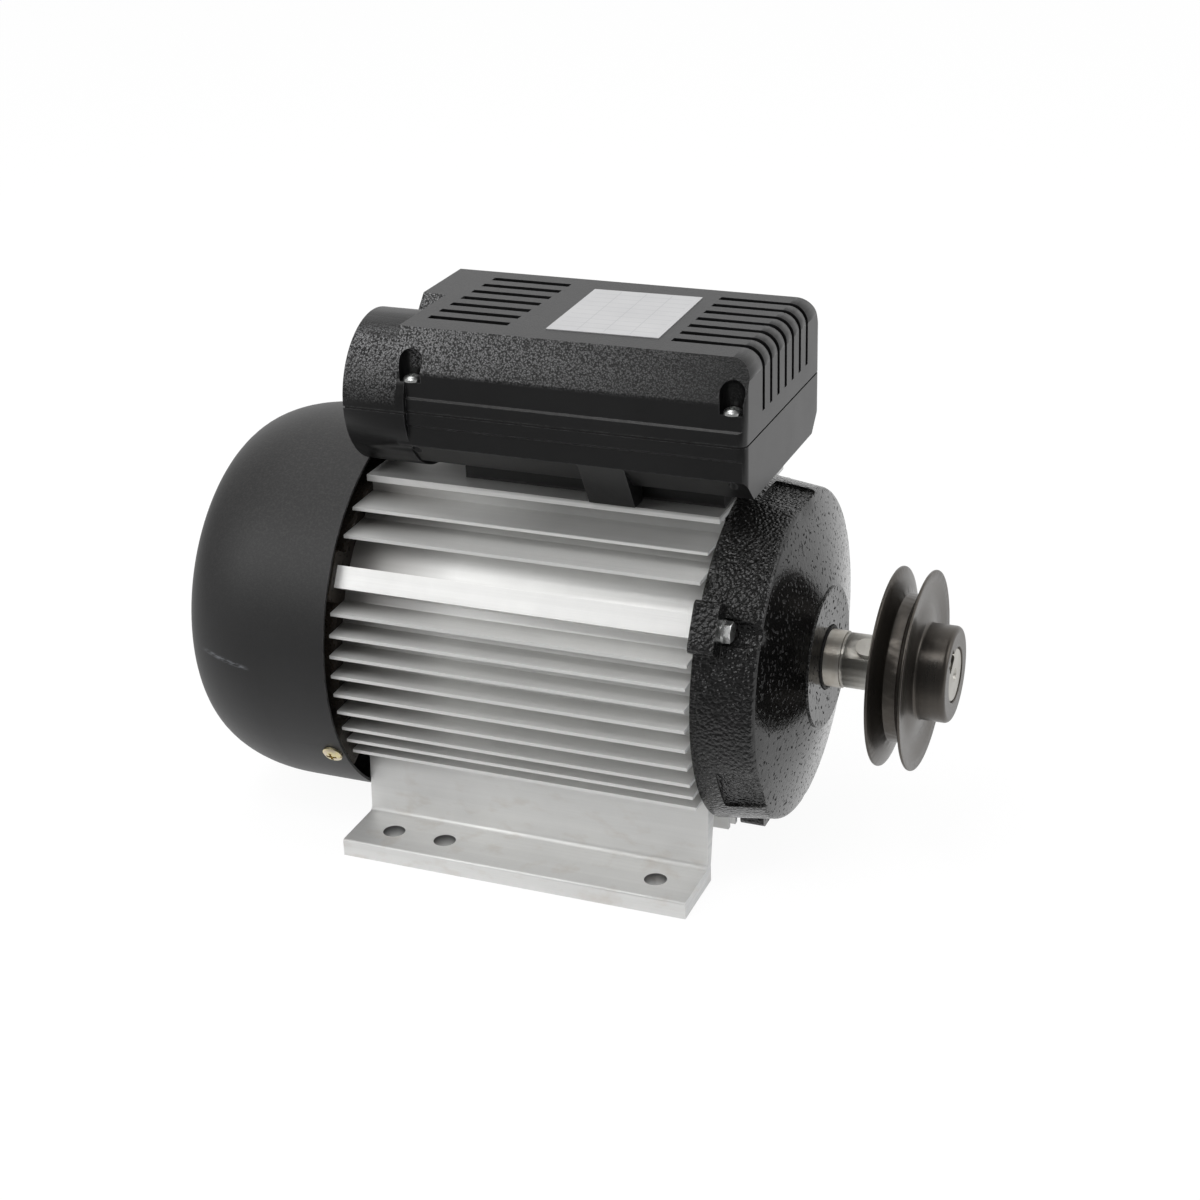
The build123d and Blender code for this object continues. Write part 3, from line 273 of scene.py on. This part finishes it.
# places in metres; a pair is where a mask starts and where it is full, a bump its strength and depth
extrusion = {
    "metallic": 0.5,
    "colour": (0.84, 0.84, 0.825),
    "otherColour": (0.76, 0.76, 0.75),
    "edgeColour": (0.97, 0.97, 0.96),
    "roughness": (0.44, 0.54),
    "cloudSize": 30.0,
    "wear": 0.7,
    "edgeRadius": 0.0006,
    "dust": 0.05,
    "lineStretch": (3.0, 260.0, 260.0),
    "lineBump": (0.35, 0.00012),
    "bandAmount": 0.5,
    "bandColour": (0.64, 0.64, 0.63),
    "bandRoughness": 0.52,
    "lineAmount": 0.25,
    "lineColour": (0.97, 0.97, 0.96),
    "lineRoughness": 0.34,
    "sawSlope": (0.85, 0.95),
    "sawStretch": (20.0, 30.0, 900.0),
    "sawColour": (0.6, 0.61, 0.62),
    "sawBump": (0.4, 0.0002),
    "axisHeight": 0.09,
    "rootRadius": (0.081, 0.074),
    "rootSpan": (-0.030, -0.072),
    "rootShadeAmount": 0.75,
    "rootShadeColour": (0.16, 0.15, 0.14),
    "aboveFin": (0.1546, 0.1550),
    "belowPlate": (0.1612, 0.1608),
    "plateTop": (0.1630, 0.1640),
    "shadedSpan": (-0.060, 0.010),
    "shadedAmount": 0.6,
    "shadedColour": (0.20, 0.20, 0.195),
    "holeTop": (0.0079, 0.0077),
    "holeUpright": (0.5, 0.3),
    "footEdge": (0.0815, 0.0810),
    "footWall": (0.060, 0.062),
    "footEnd": (0.0690, 0.0680),
    "holeShade": (0.001, 0.007, 0.15, 1.0),
    "holeShadeColour": (0.12, 0.12, 0.12),
    "stainHeight": (0.05, 0.012),
    "stainScale": 75.0,
    "stainRange": (0.54, 0.72),
    "stainAmount": 0.28,
    "stainColour": (0.50, 0.42, 0.34),
    "shadeRoughness": 0.5,
}


def extrudedAluminium():
    look = extrusion
    even = look["shadeRoughness"]
    material, tree, shader = newMaterial("extrudedAluminium", look["metallic"])
    layerSurface(tree, shader, look)
    facing = splitNormal(tree)
    place = splitVector(tree, objectPlace(tree))
    along = unsigned(tree, place[0])
    outward = unsigned(tree, place[1])
    height = place[2]
    drawn = useGroup(tree, toolLines, vector=objectPlace(tree, look["lineStretch"]))
    bands = times(tree, drawn["bands"], look["bandAmount"])
    overlay(tree, shader, bands, look["bandColour"], look["bandRoughness"])
    lines = times(tree, drawn["lines"], look["lineAmount"])
    overlay(tree, shader, lines, look["lineColour"], look["lineRoughness"])
    # sawn ends
    cutEnd = remap(tree, unsigned(tree, facing[0]), *look["sawSlope"])
    saw = useGroup(tree, toolLines, vector=objectPlace(tree, look["sawStretch"]))
    sawn = times(tree, cutEnd, saw["lines"])
    overlay(tree, shader, sawn, look["sawColour"], even)
    # painted shade: the fin roots are darker towards the fan end
    fromAxis = doMath(tree, "SUBTRACT", height, look["axisHeight"])
    radius = vectorLength(tree, addNode(tree, "CombineXYZ", {1: place[1], 2: fromAxis}).outputs[0])
    rootShade = times(tree, remap(tree, radius, *look["rootRadius"]), remap(tree, place[0], *look["rootSpan"]))
    overlay(tree, shader, times(tree, rootShade, look["rootShadeAmount"]), look["rootShadeColour"], even)
    # little light reaches the top plate and the highest fins under the box
    onFin = times(tree, remap(tree, height, *look["aboveFin"]), remap(tree, height, *look["belowPlate"]))
    shaded = doMath(tree, "MAXIMUM", onFin, remap(tree, height, *look["plateTop"]))
    underBox = times(tree, shaded, remap(tree, place[0], *look["shadedSpan"]), look["shadedAmount"])
    overlay(tree, shader, underBox, look["shadedColour"], even)
    # painted shade on the drilled walls of the foot holes, darker towards their top
    footOnly = times(tree, remap(tree, outward, *look["footEdge"]), remap(tree, outward, *look["footWall"]),
                     remap(tree, along, *look["footEnd"]))
    upright = remap(tree, unsigned(tree, facing[2]), *look["holeUpright"])
    holeWallShade = times(tree, remap(tree, height, *look["holeTop"]), footOnly, upright)
    shade = remap(tree, height, *look["holeShade"])
    overlay(tree, shader, times(tree, holeWallShade, shade), look["holeShadeColour"], even)
    # faint brown handling stains low on the foot walls
    low = remap(tree, height, *look["stainHeight"])
    patches = noise(tree, objectPlace(tree, (1, 1, 2)), look["stainScale"], 5.0)
    stains = times(tree, low, remap(tree, patches, *look["stainRange"]), look["stainAmount"])
    overlay(tree, shader, stains, look["stainColour"], even)
    addBump(tree, shader, drawn["lines"], *look["lineBump"])
    addBump(tree, shader, sawn, *look["sawBump"])
    return material


casting = {
    "colour": (0.0035, 0.0035, 0.0036),
    "otherColour": (0.0050, 0.0050, 0.0050),
    "edgeColour": (0.22, 0.215, 0.205),
    "roughness": (0.11, 0.19),
    "cloudSize": 24.0,
    "wear": 0.35,
    "edgeRadius": 0.0008,
    "dust": 0.04,
    "pebbleScale": 640.0,
    "fineShare": 0.15,
    "faceSlope": (0.55, 0.85),
    "sideBump": (1.0, 0.0008),
    "faceBump": (0.8, 0.0003),
    "peakRange": (0.55, 0.70),
    "peakHighlightColour": (0.006, 0.006, 0.006),
    "peakRoughness": 0.13,
    "pitScale": 640.0,
    "pitRange": (0.27, 0.33),
    "pitColour": (0.001, 0.001, 0.001),
    "pitRoughness": 0.8,
    "grainScale": 520.0,
    "grainShare": 0.5,
}


# gloss paint over sand-cast iron: coarse on the sides, finer with pits on the face
def paintedCasting(name="paintedCasting", look=casting):
    material, tree, shader = newMaterial(name)
    layerSurface(tree, shader, look)
    rough = useGroup(tree, pebbles, scale=look["pebbleScale"], fineShare=look["fineShare"])["height"]
    face = remap(tree, unsigned(tree, splitNormal(tree)[0]), *look["faceSlope"])
    side = opposite(tree, face)
    # painted highlight: the pebble peaks on the sides take a lighter, glossier tone
    peakHighlights = times(tree, remap(tree, rough, *look["peakRange"]), side)
    overlay(tree, shader, peakHighlights, look["peakHighlightColour"], look["peakRoughness"])
    addBump(tree, shader, times(tree, rough, side), *look["sideBump"])
    even = remap(tree, noise(tree, objectPlace(tree), look["pitScale"], 0.0), *look["pitRange"])
    pits = times(tree, opposite(tree, even), face)
    overlay(tree, shader, pits, look["pitColour"], look["pitRoughness"])
    fine = noise(tree, objectPlace(tree), look["grainScale"])
    grain = blendValue(tree, look["grainShare"], even, fine)
    addBump(tree, shader, times(tree, grain, face), *look["faceBump"])
    return material


primer = dict(casting, colour=(0.030, 0.023, 0.017), otherColour=(0.020, 0.017, 0.013),
              edgeColour=(0.09, 0.07, 0.05), roughness=(0.5, 0.7), sideBump=(1.0, 0.0004),
              peakHighlightColour=(0.045, 0.036, 0.028))

coverPaint = {
    "specular": 0.3,
    "colour": (0.023, 0.023, 0.0235),
    "otherColour": (0.029, 0.029, 0.0295),
    "edgeColour": (0.14, 0.14, 0.14),
    "roughness": (0.42, 0.50),
    "cloudSize": 11.0,
    "wear": 0.3,
    "edgeRadius": 0.0005,
    "dust": 0.06,
    "peelScale": 1500.0,
    "peelBump": (0.5, 0.00010),
    "scratchPlace": (-0.132, -0.078, 0.090),
    "scratchTilt": 8.0,
    "scratchLength": 0.028,
    "scratchWidth": 0.0014,
    "scratchReach": 0.03,
    "scratchStretch": (300, 300, 1500),
    "scratchRange": (0.42, 0.6),
    "scratchAmount": 0.6,
    "scratchColour": (0.22, 0.23, 0.25),
    "scratchRoughness": 0.6,
}


# satin powder coat on pressed steel, with the pale scuff low on its bowl
def powderCoat():
    look = coverPaint
    material, tree, shader = newMaterial("powderCoat", specular=look["specular"])
    layerSurface(tree, shader, look)
    addBump(tree, shader, noise(tree, objectPlace(tree), look["peelScale"], 2.0), *look["peelBump"])
    strip = splitVector(tree, objectPlace(tree, move=tuple(-v for v in look["scratchPlace"])))
    along = unsigned(tree, strip[0])
    fall = doMath(tree, "MULTIPLY", strip[0], math.tan(math.radians(look["scratchTilt"])))
    across = unsigned(tree, doMath(tree, "ADD", strip[2], fall))
    core = remap(tree, across, look["scratchWidth"], 0.0)
    span = remap(tree, along, look["scratchLength"] / 2, look["scratchLength"] / 3)
    side = remap(tree, strip[1], look["scratchReach"], 0.0)
    broken = remap(tree, noise(tree, objectPlace(tree, look["scratchStretch"]), 1.0), *look["scratchRange"])
    scuff = times(tree, core, span, side, broken, look["scratchAmount"])
    overlay(tree, shader, scuff, look["scratchColour"], look["scratchRoughness"])
    return material


moulding = {
    "specular": 0.4,
    "colour": (0.0050, 0.0050, 0.0052),
    "otherColour": (0.0085, 0.0085, 0.0088),
    "edgeColour": (0.070, 0.070, 0.072),
    "roughness": (0.30, 0.38),
    "cloudSize": 16.0,
    "wear": 0.8,
    "edgeRadius": 0.0007,
    "dust": 0.05,
    "stippleScale": 1250.0,
    "stippleFine": 0.4,
    "stippleBump": (0.9, 0.00034),
    "stippleFoot": 0.2185,
    "humpFoot": 0.2045,
    "humpEnd": -0.056,
    "footSoftness": 0.001,
    "slantSlope": (0.93, 0.8),
    "slantEndwise": (0.6, 0.3),
    "slantInner": 0.0405,
    "topSlope": (0.8, 0.95),
    "topStipple": 0.35,
    "glintSpan": (0.095, -0.060, 0.04, 1.0),
    "glintHeight": (0.204, 0.227, 0.06, 1.0),
    "glintRange": (0.42, 0.68),
    "slantColour": (0.0035, 0.0035, 0.0035),
    "slantRoughness": 0.36,
    "glintColour": (0.250, 0.250, 0.254),
    "glintRoughness": 0.24,
    "topAmount": 0.8,
    "topColour": (0.010, 0.010, 0.0105),
    "topRoughness": 0.42,
    "grainScale": 1400.0,
    "grainBump": (0.25, 0.00012),
}


# box plastic: coarse stipple on the lid's slanted sides and the hump with painted glints on its crests,
# satin top, smooth bands
def mouldedPlastic():
    look = moulding
    material, tree, shader = newMaterial("mouldedPlastic", specular=look["specular"])
    layerSurface(tree, shader, look)
    place = splitVector(tree, objectPlace(tree))
    facing = splitNormal(tree)
    soft = look["footSoftness"]
    atHump = (look["humpEnd"], look["humpEnd"] + soft)
    foot = remap(tree, place[0], *atHump, look["humpFoot"], look["stippleFoot"])
    aboveFoot = remap(tree, doMath(tree, "SUBTRACT", place[2], foot), -soft, soft)
    outer = doMath(tree, "GREATER_THAN", unsigned(tree, place[1]), look["slantInner"])
    humpSide = doMath(tree, "LESS_THAN", place[0], look["humpEnd"])
    slanted = times(tree, aboveFoot, remap(tree, facing[2], *look["slantSlope"]),
                    remap(tree, unsigned(tree, facing[0]), *look["slantEndwise"]),
                    doMath(tree, "MAXIMUM", outer, humpSide))
    top = remap(tree, facing[2], *look["topSlope"])
    stipple = useGroup(tree, pebbles, scale=look["stippleScale"], fineShare=look["stippleFine"])["height"]
    amount = doMath(tree, "ADD", slanted, times(tree, top, look["topStipple"]), True)
    addBump(tree, shader, times(tree, stipple, amount), *look["stippleBump"])
    # painted glints: pale stipple crests on the slanted faces, strongest high up and towards the -x end
    glintFade = times(tree, remap(tree, place[0], *look["glintSpan"]),
                   remap(tree, place[2], *look["glintHeight"]))
    glints = times(tree, remap(tree, stipple, *look["glintRange"]), glintFade)
    overlay(tree, shader, slanted, look["slantColour"], look["slantRoughness"])
    overlay(tree, shader, times(tree, slanted, glints), look["glintColour"], look["glintRoughness"])
    overlay(tree, shader, times(tree, top, look["topAmount"]), look["topColour"], look["topRoughness"])
    addBump(tree, shader, noise(tree, objectPlace(tree), look["grainScale"], 2.0), *look["grainBump"])
    return material


bareSteel = {
    "colour": (0.52, 0.51, 0.48),
    "otherColour": (0.40, 0.39, 0.36),
    "edgeColour": (0.72, 0.70, 0.66),
    "roughness": (0.30, 0.42),
    "cloudSize": 60.0,
    "wear": 0.6,
    "edgeRadius": 0.0004,
    "dust": 0.02,
    "ringStretch": (1900.0, 14.0, 14.0),
    "ringBump": (0.4, 0.00008),
    "ringAmount": 0.5,
    "ringColour": (0.38, 0.35, 0.30),
    "ringRoughness": 0.42,
    "oilSpan": (0.128, 0.121),
    "oilScale": 150.0,
    "oilRange": (0.35, 0.6),
    "oilAmount": 0.35,
    "oilColour": (0.30, 0.24, 0.18),
    "oilRoughness": 0.4,
}


# ground shaft steel, browned by oil near the seal
def groundShaft():
    look = bareSteel
    material, tree, shader = newMaterial("groundShaft", metallic=1.0)
    layerSurface(tree, shader, look)
    rings = useGroup(tree, toolLines, vector=objectPlace(tree, look["ringStretch"]))
    bands = times(tree, rings["bands"], look["ringAmount"])
    overlay(tree, shader, bands, look["ringColour"], look["ringRoughness"])
    along = splitVector(tree, objectPlace(tree))[0]
    patches = remap(tree, noise(tree, objectPlace(tree), look["oilScale"], 4.0), *look["oilRange"])
    browned = times(tree, remap(tree, along, *look["oilSpan"]), patches, look["oilAmount"])
    overlay(tree, shader, browned, look["oilColour"], look["oilRoughness"])
    addBump(tree, shader, rings["lines"], *look["ringBump"])
    return material


turnedSteel = {
    "metallic": 0.85,
    "colour": (0.060, 0.056, 0.052),
    "otherColour": (0.085, 0.076, 0.066),
    "edgeColour": (0.34, 0.32, 0.29),
    "roughness": (0.24, 0.34),
    "cloudSize": 28.0,
    "wear": 0.75,
    "edgeRadius": 0.0005,
    "dust": 0.02,
    "axisHeight": 0.09,
    "ringScale": 1700.0,
    "ringBump": (0.5, 0.00006),
    "ringAmount": 0.4,
    "ringColour": (0.11, 0.095, 0.08),
    "ringRoughness": 0.4,
}


# blackened steel turned on a lathe: its marks run round the shaft axis
def blackenedSteel():
    look = turnedSteel
    material, tree, shader = newMaterial("blackenedSteel", look["metallic"])
    layerSurface(tree, shader, look)
    place = splitVector(tree, objectPlace(tree, move=(0, 0, -look["axisHeight"])))
    radius = vectorLength(tree, addNode(tree, "CombineXYZ", {1: place[1], 2: place[2]}).outputs[0])
    lathe = addNode(tree, "CombineXYZ", {0: doMath(tree, "ADD", radius, place[0])}).outputs[0]
    rings = useGroup(tree, toolLines, vector=lathe, scale=look["ringScale"])
    bands = times(tree, rings["bands"], look["ringAmount"])
    overlay(tree, shader, bands, look["ringColour"], look["ringRoughness"])
    addBump(tree, shader, rings["lines"], *look["ringBump"])
    return material


zincPlate = {
    "colour": (0.74, 0.75, 0.74),
    "otherColour": (0.62, 0.63, 0.62),
    "edgeColour": (0.9, 0.9, 0.88),
    "roughness": (0.22, 0.36),
    "cloudSize": 160.0,
    "wear": 0.5,
    "edgeRadius": 0.0003,
    "dust": 0.03,
    "grainScale": 1200.0,
    "grainBump": (0.3, 0.0001),
}

yellowPlate = dict(zincPlate, colour=(0.80, 0.68, 0.36), otherColour=(0.66, 0.60, 0.40),
                   bloomScale=320.0, bloomRange=(0.48, 0.68), bloomAmount=0.5,
                   bloomColour=(0.62, 0.50, 0.52))


def platedSteel(name="zincPlate", look=zincPlate):
    material, tree, shader = newMaterial(name, metallic=1.0)
    layerSurface(tree, shader, look)
    addBump(tree, shader, noise(tree, objectPlace(tree), look["grainScale"]), *look["grainBump"])
    if "bloomColour" in look:
        bloom = remap(tree, noise(tree, objectPlace(tree), look["bloomScale"], 2.0), *look["bloomRange"])
        overlay(tree, shader, times(tree, bloom, look["bloomAmount"]), look["bloomColour"])
    return material


labelSheet = {
    "metallic": 0.25,
    "colour": (0.58, 0.58, 0.585),
    "otherColour": (0.54, 0.54, 0.55),
    "edgeColour": (0.70, 0.70, 0.70),
    "roughness": (0.36, 0.44),
    "cloudSize": 30.0,
    "wear": 0.2,
    "edgeRadius": 0.0008,
    "dust": 0.02,
    "turn": 1.5,
    "columnWidth": 0.0115,
    "rowHeight": 0.0058,
    "lineWidth": 0.00025,
    "lineSoftness": 0.2,
    "tableLength": (0.0222, 0.0220),
    "tableWidth": (0.0272, 0.0270),
    "lineAmount": 0.5,
    "lineColour": (0.40, 0.41, 0.42),
    "lineRoughness": 0.5,
    "brushStretch": (40.0, 1600.0, 40.0),
    "brushBump": (0.25, 0.00005),
}


# brushed foil with a ruled, blank table
def ruledFoil():
    look = labelSheet
    material, tree, shader = newMaterial("ruledFoil", look["metallic"])
    layerSurface(tree, shader, look)
    low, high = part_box("rating_label")
    centre = (low + high) / 2
    turned = {0: objectPlace(tree), 1: (centre.x, centre.y, 0), 2: (0, 0, math.radians(look["turn"]))}
    place = addNode(tree, "Mapping", turned, vector_type="TEXTURE").outputs[0]
    parts = splitVector(tree, place)
    table = {"Vector": place, "Color1": (1, 1, 1), "Color2": (1, 1, 1), "Mortar": (0, 0, 0), "Scale": 1.0,
             "Mortar Size": look["lineWidth"], "Mortar Smooth": look["lineSoftness"],
             "Brick Width": look["columnWidth"], "Row Height": look["rowHeight"]}
    grid = addNode(tree, "TexBrick", table, offset=0.0).outputs["Fac"]
    inside = times(tree, remap(tree, unsigned(tree, parts[0]), *look["tableLength"]),
                   remap(tree, unsigned(tree, parts[1]), *look["tableWidth"]))
    lines = times(tree, grid, inside, look["lineAmount"])
    overlay(tree, shader, lines, look["lineColour"], look["lineRoughness"])
    brushed = useGroup(tree, toolLines, vector=objectPlace(tree, look["brushStretch"]))
    addBump(tree, shader, brushed["lines"], *look["brushBump"])
    return material


# simple finishes of small and inner pieces: two tones, a grain and its direction
plainLooks = {
    "electrical_steel": {"colour": (0.33, 0.34, 0.36), "otherColour": (0.25, 0.25, 0.27), "metallic": 0.9,
                         "roughness": (0.35, 0.5), "stretch": (2000.0, 12.0, 12.0), "depth": 0.0002},
    "copper_windings": {"colour": (0.58, 0.26, 0.10), "otherColour": (0.42, 0.17, 0.06), "metallic": 0.7,
                        "roughness": (0.3, 0.42), "stretch": (1300.0, 1300.0, 60.0), "depth": 0.0004},
    "black_rubber": {"colour": (0.018, 0.018, 0.018), "otherColour": (0.028, 0.027, 0.026), "metallic": 0.0,
                     "roughness": (0.55, 0.7), "stretch": (900.0, 900.0, 900.0), "depth": 0.0001},
    "board_laminate": {"colour": (0.33, 0.17, 0.07), "otherColour": (0.26, 0.13, 0.05), "metallic": 0.0,
                       "roughness": (0.4, 0.55), "stretch": (90.0, 420.0, 420.0), "depth": 0.0001},
    "brass_contacts": {"colour": (0.78, 0.58, 0.26), "otherColour": (0.66, 0.48, 0.20), "metallic": 1.0,
                       "roughness": (0.25, 0.4), "stretch": (700.0, 200.0, 200.0), "depth": 0.0001},
    "white_plastic": {"colour": (0.74, 0.74, 0.71), "otherColour": (0.70, 0.69, 0.65), "metallic": 0.0,
                      "roughness": (0.35, 0.45), "stretch": (60.0, 60.0, 60.0), "depth": 0.0001},
}

# what all the simple finishes share
plainShared = {
    "cloudSize": 18.0,
    "wear": 0.3,
    "edgeRadius": 0.0008,
    "dust": 0.03,
    "edgeGain": 1.4,
    "edgeLift": 0.02,
    "grainAmount": 0.4,
    "grainStrength": 0.4,
}


def plainFinish(slot):
    look = dict(plainLooks[slot], **plainShared)
    look["edgeColour"] = tuple(min(1.0, look["edgeGain"] * v + look["edgeLift"]) for v in look["colour"])
    material, tree, shader = newMaterial(slot, look["metallic"])
    layerSurface(tree, shader, look)
    grain = useGroup(tree, toolLines, vector=objectPlace(tree, look["stretch"]))
    overlay(tree, shader, times(tree, grain["lines"], look["grainAmount"]), look["otherColour"])
    addBump(tree, shader, grain["lines"], look["grainStrength"], look["depth"])
    return material


finishes = {
    "aluminium_extrusion": extrudedAluminium(),
    "black_casting": paintedCasting(),
    "brown_casting": paintedCasting("brownPrimer", primer),
    "black_steel": powderCoat(),
    "black_plastic": mouldedPlastic(),
    "ground_steel": groundShaft(),
    "blackened_steel": blackenedSteel(),
    "zinc_steel": platedSteel(),
    "yellow_zinc": platedSteel("yellowZinc", yellowPlate),
    "silver_foil": ruledFoil(),
}
finishes.update({slot: plainFinish(slot) for slot in plainLooks})
print("finishes made:", len(finishes))

for part in frame["record"]["subparts"]:
    mesh = nodes[part["node"]].data
    mesh.materials.clear()
    mesh.materials.append(finishes[part["material_slot"]])

# small edge rounds that catch the light, in metres
edgeRounds = {
    "housing": 0.0003,
    "drive_shield": 0.0010,
    "rear_shield": 0.0008,
    "box_base": 0.0005,
    "box_lid": 0.0006,
    "pulley": 0.0004,
    "shaft": 0.0002,
    "drive_shield_bolts": 0.0004,
    "cable_gland": 0.0003,
}
weldReach = 0.000005
sharpAngle = 35


def roundEdges(name, width):
    piece = nodes[name]
    weld = piece.modifiers.new("weld", "WELD")
    weld.merge_threshold = weldReach
    bevel = piece.modifiers.new("edgeRound", "BEVEL")
    bevel.width = width
    bevel.segments = 2
    bevel.limit_method = "ANGLE"
    bevel.angle_limit = math.radians(sharpAngle)
    bevel.use_clamp_overlap = True
    bevel.harden_normals = True


# mirrored levels: what gloss sees behind the motor and, dimmer, at the camera's side
studio = {
    "floorSize": 60.0,
    "floorColour": (0.80, 0.80, 0.80),
    "floorRoughness": 0.9,
    "floorSpecular": 0.1,
    "floorWhite": 1.06,
    "floorSeen": 0.88,
    "floorMirrored": 0.8,
    "floorDepth": (-0.26, -0.08),
    "skyColour": (1.0, 1.0, 1.0),
    "skyStrength": 0.54,
    "skyDepth": (0.15, 0.7),
    "farLight": 1.0,
    "nearLight": 0.17,
    "lamps": {
        "keyBox": {"at": (-0.92, -1.05, 0.98), "size": (0.8, 0.9), "power": 7.0},
        "topBox": {"at": (-0.50, 0.15, 1.65), "size": (1.0, 0.8), "power": 4.5},
        "highBox": {"at": (-0.15, -0.75, 1.50), "size": (0.8, 0.4), "power": 4.8},
        "sideBox": {"at": (1.7, 0.3, 0.9), "size": (0.9, 1.2), "power": 7.0},
    },
    "aim": (0.02, 0.0, 0.11),
}


def mirroredLevel(tree, vector, depth):
    across = splitVector(tree, vector)[1]
    return remap(tree, across, *depth, studio["nearLight"], studio["farLight"])


def makeFloor():
    material, tree, shader = newMaterial("paleFloor", specular=studio["floorSpecular"])
    plug(tree, studio["floorColour"], shader.inputs["Base Color"])
    shader.inputs["Roughness"].default_value = studio["floorRoughness"]
    rays = addNode(tree, "LightPath").outputs
    mirrored = mirroredLevel(tree, objectPlace(tree), studio["floorDepth"])
    level = blendValue(tree, rays["Is Glossy Ray"], studio["floorWhite"], mirrored)
    glow = addNode(tree, "Emission", {"Color": (1.0, 1.0, 1.0), "Strength": level})
    direct = times(tree, rays["Is Camera Ray"], studio["floorSeen"])
    gloss = times(tree, rays["Is Glossy Ray"], studio["floorMirrored"])
    seen = doMath(tree, "MAXIMUM", direct, gloss)
    mixed = addNode(tree, "MixShader", {0: seen, 1: shader.outputs[0], 2: glow.outputs[0]})
    tree.links.new(mixed.outputs[0], tree.nodes["Material Output"].inputs["Surface"])
    shape = bmesh.new()
    bmesh.ops.create_grid(shape, x_segments=2, y_segments=2, size=studio["floorSize"] / 2)
    mesh = bpy.data.meshes.new("studioFloor")
    shape.to_mesh(mesh)
    shape.free()
    mesh.materials.append(material)
    floor = bpy.data.objects.new("studioFloor", mesh)
    bpy.context.scene.collection.objects.link(floor)


def makeLamps():
    for name, lamp in studio["lamps"].items():
        data = bpy.data.lights.new(name, "AREA")
        data.shape = "RECTANGLE"
        data.size, data.size_y = lamp["size"]
        data.energy = lamp["power"]
        made = bpy.data.objects.new(name, data)
        made.location = lamp["at"]
        made.rotation_euler = (Vector(lamp["at"]) - Vector(studio["aim"])).to_track_quat("Z", "Y").to_euler()
        bpy.context.scene.collection.objects.link(made)


# even pale sky for light, plain white where the camera looks past the motor
def makeSky():
    world = bpy.data.worlds.new("studioSky")
    world.use_nodes = True
    tree = world.node_tree
    sky = tree.nodes["Background"]
    plug(tree, studio["skyColour"], sky.inputs["Color"])
    white = addNode(tree, "Background", {"Color": (1.0, 1.0, 1.0), "Strength": 1.0})
    rays = addNode(tree, "LightPath").outputs
    seen = doMath(tree, "MAXIMUM", rays["Is Camera Ray"], rays["Is Transmission Ray"])
    mirrored = mirroredLevel(tree, addNode(tree, "TexCoord").outputs["Generated"], studio["skyDepth"])
    level = blendValue(tree, rays["Is Glossy Ray"], studio["skyStrength"], mirrored)
    plug(tree, level, sky.inputs["Strength"])
    mixed = addNode(tree, "MixShader", {0: seen, 1: sky.outputs[0], 2: white.outputs[0]})
    tree.links.new(mixed.outputs[0], tree.nodes["World Output"].inputs["Surface"])
    bpy.context.scene.world = world


for nodeName, roundWidth in edgeRounds.items():
    roundEdges(nodeName, roundWidth)
print("edges rounded")

makeCamera()
makeFloor()
makeLamps()
makeSky()
bpy.context.scene.view_settings.view_transform = "Standard"
print("studio made")
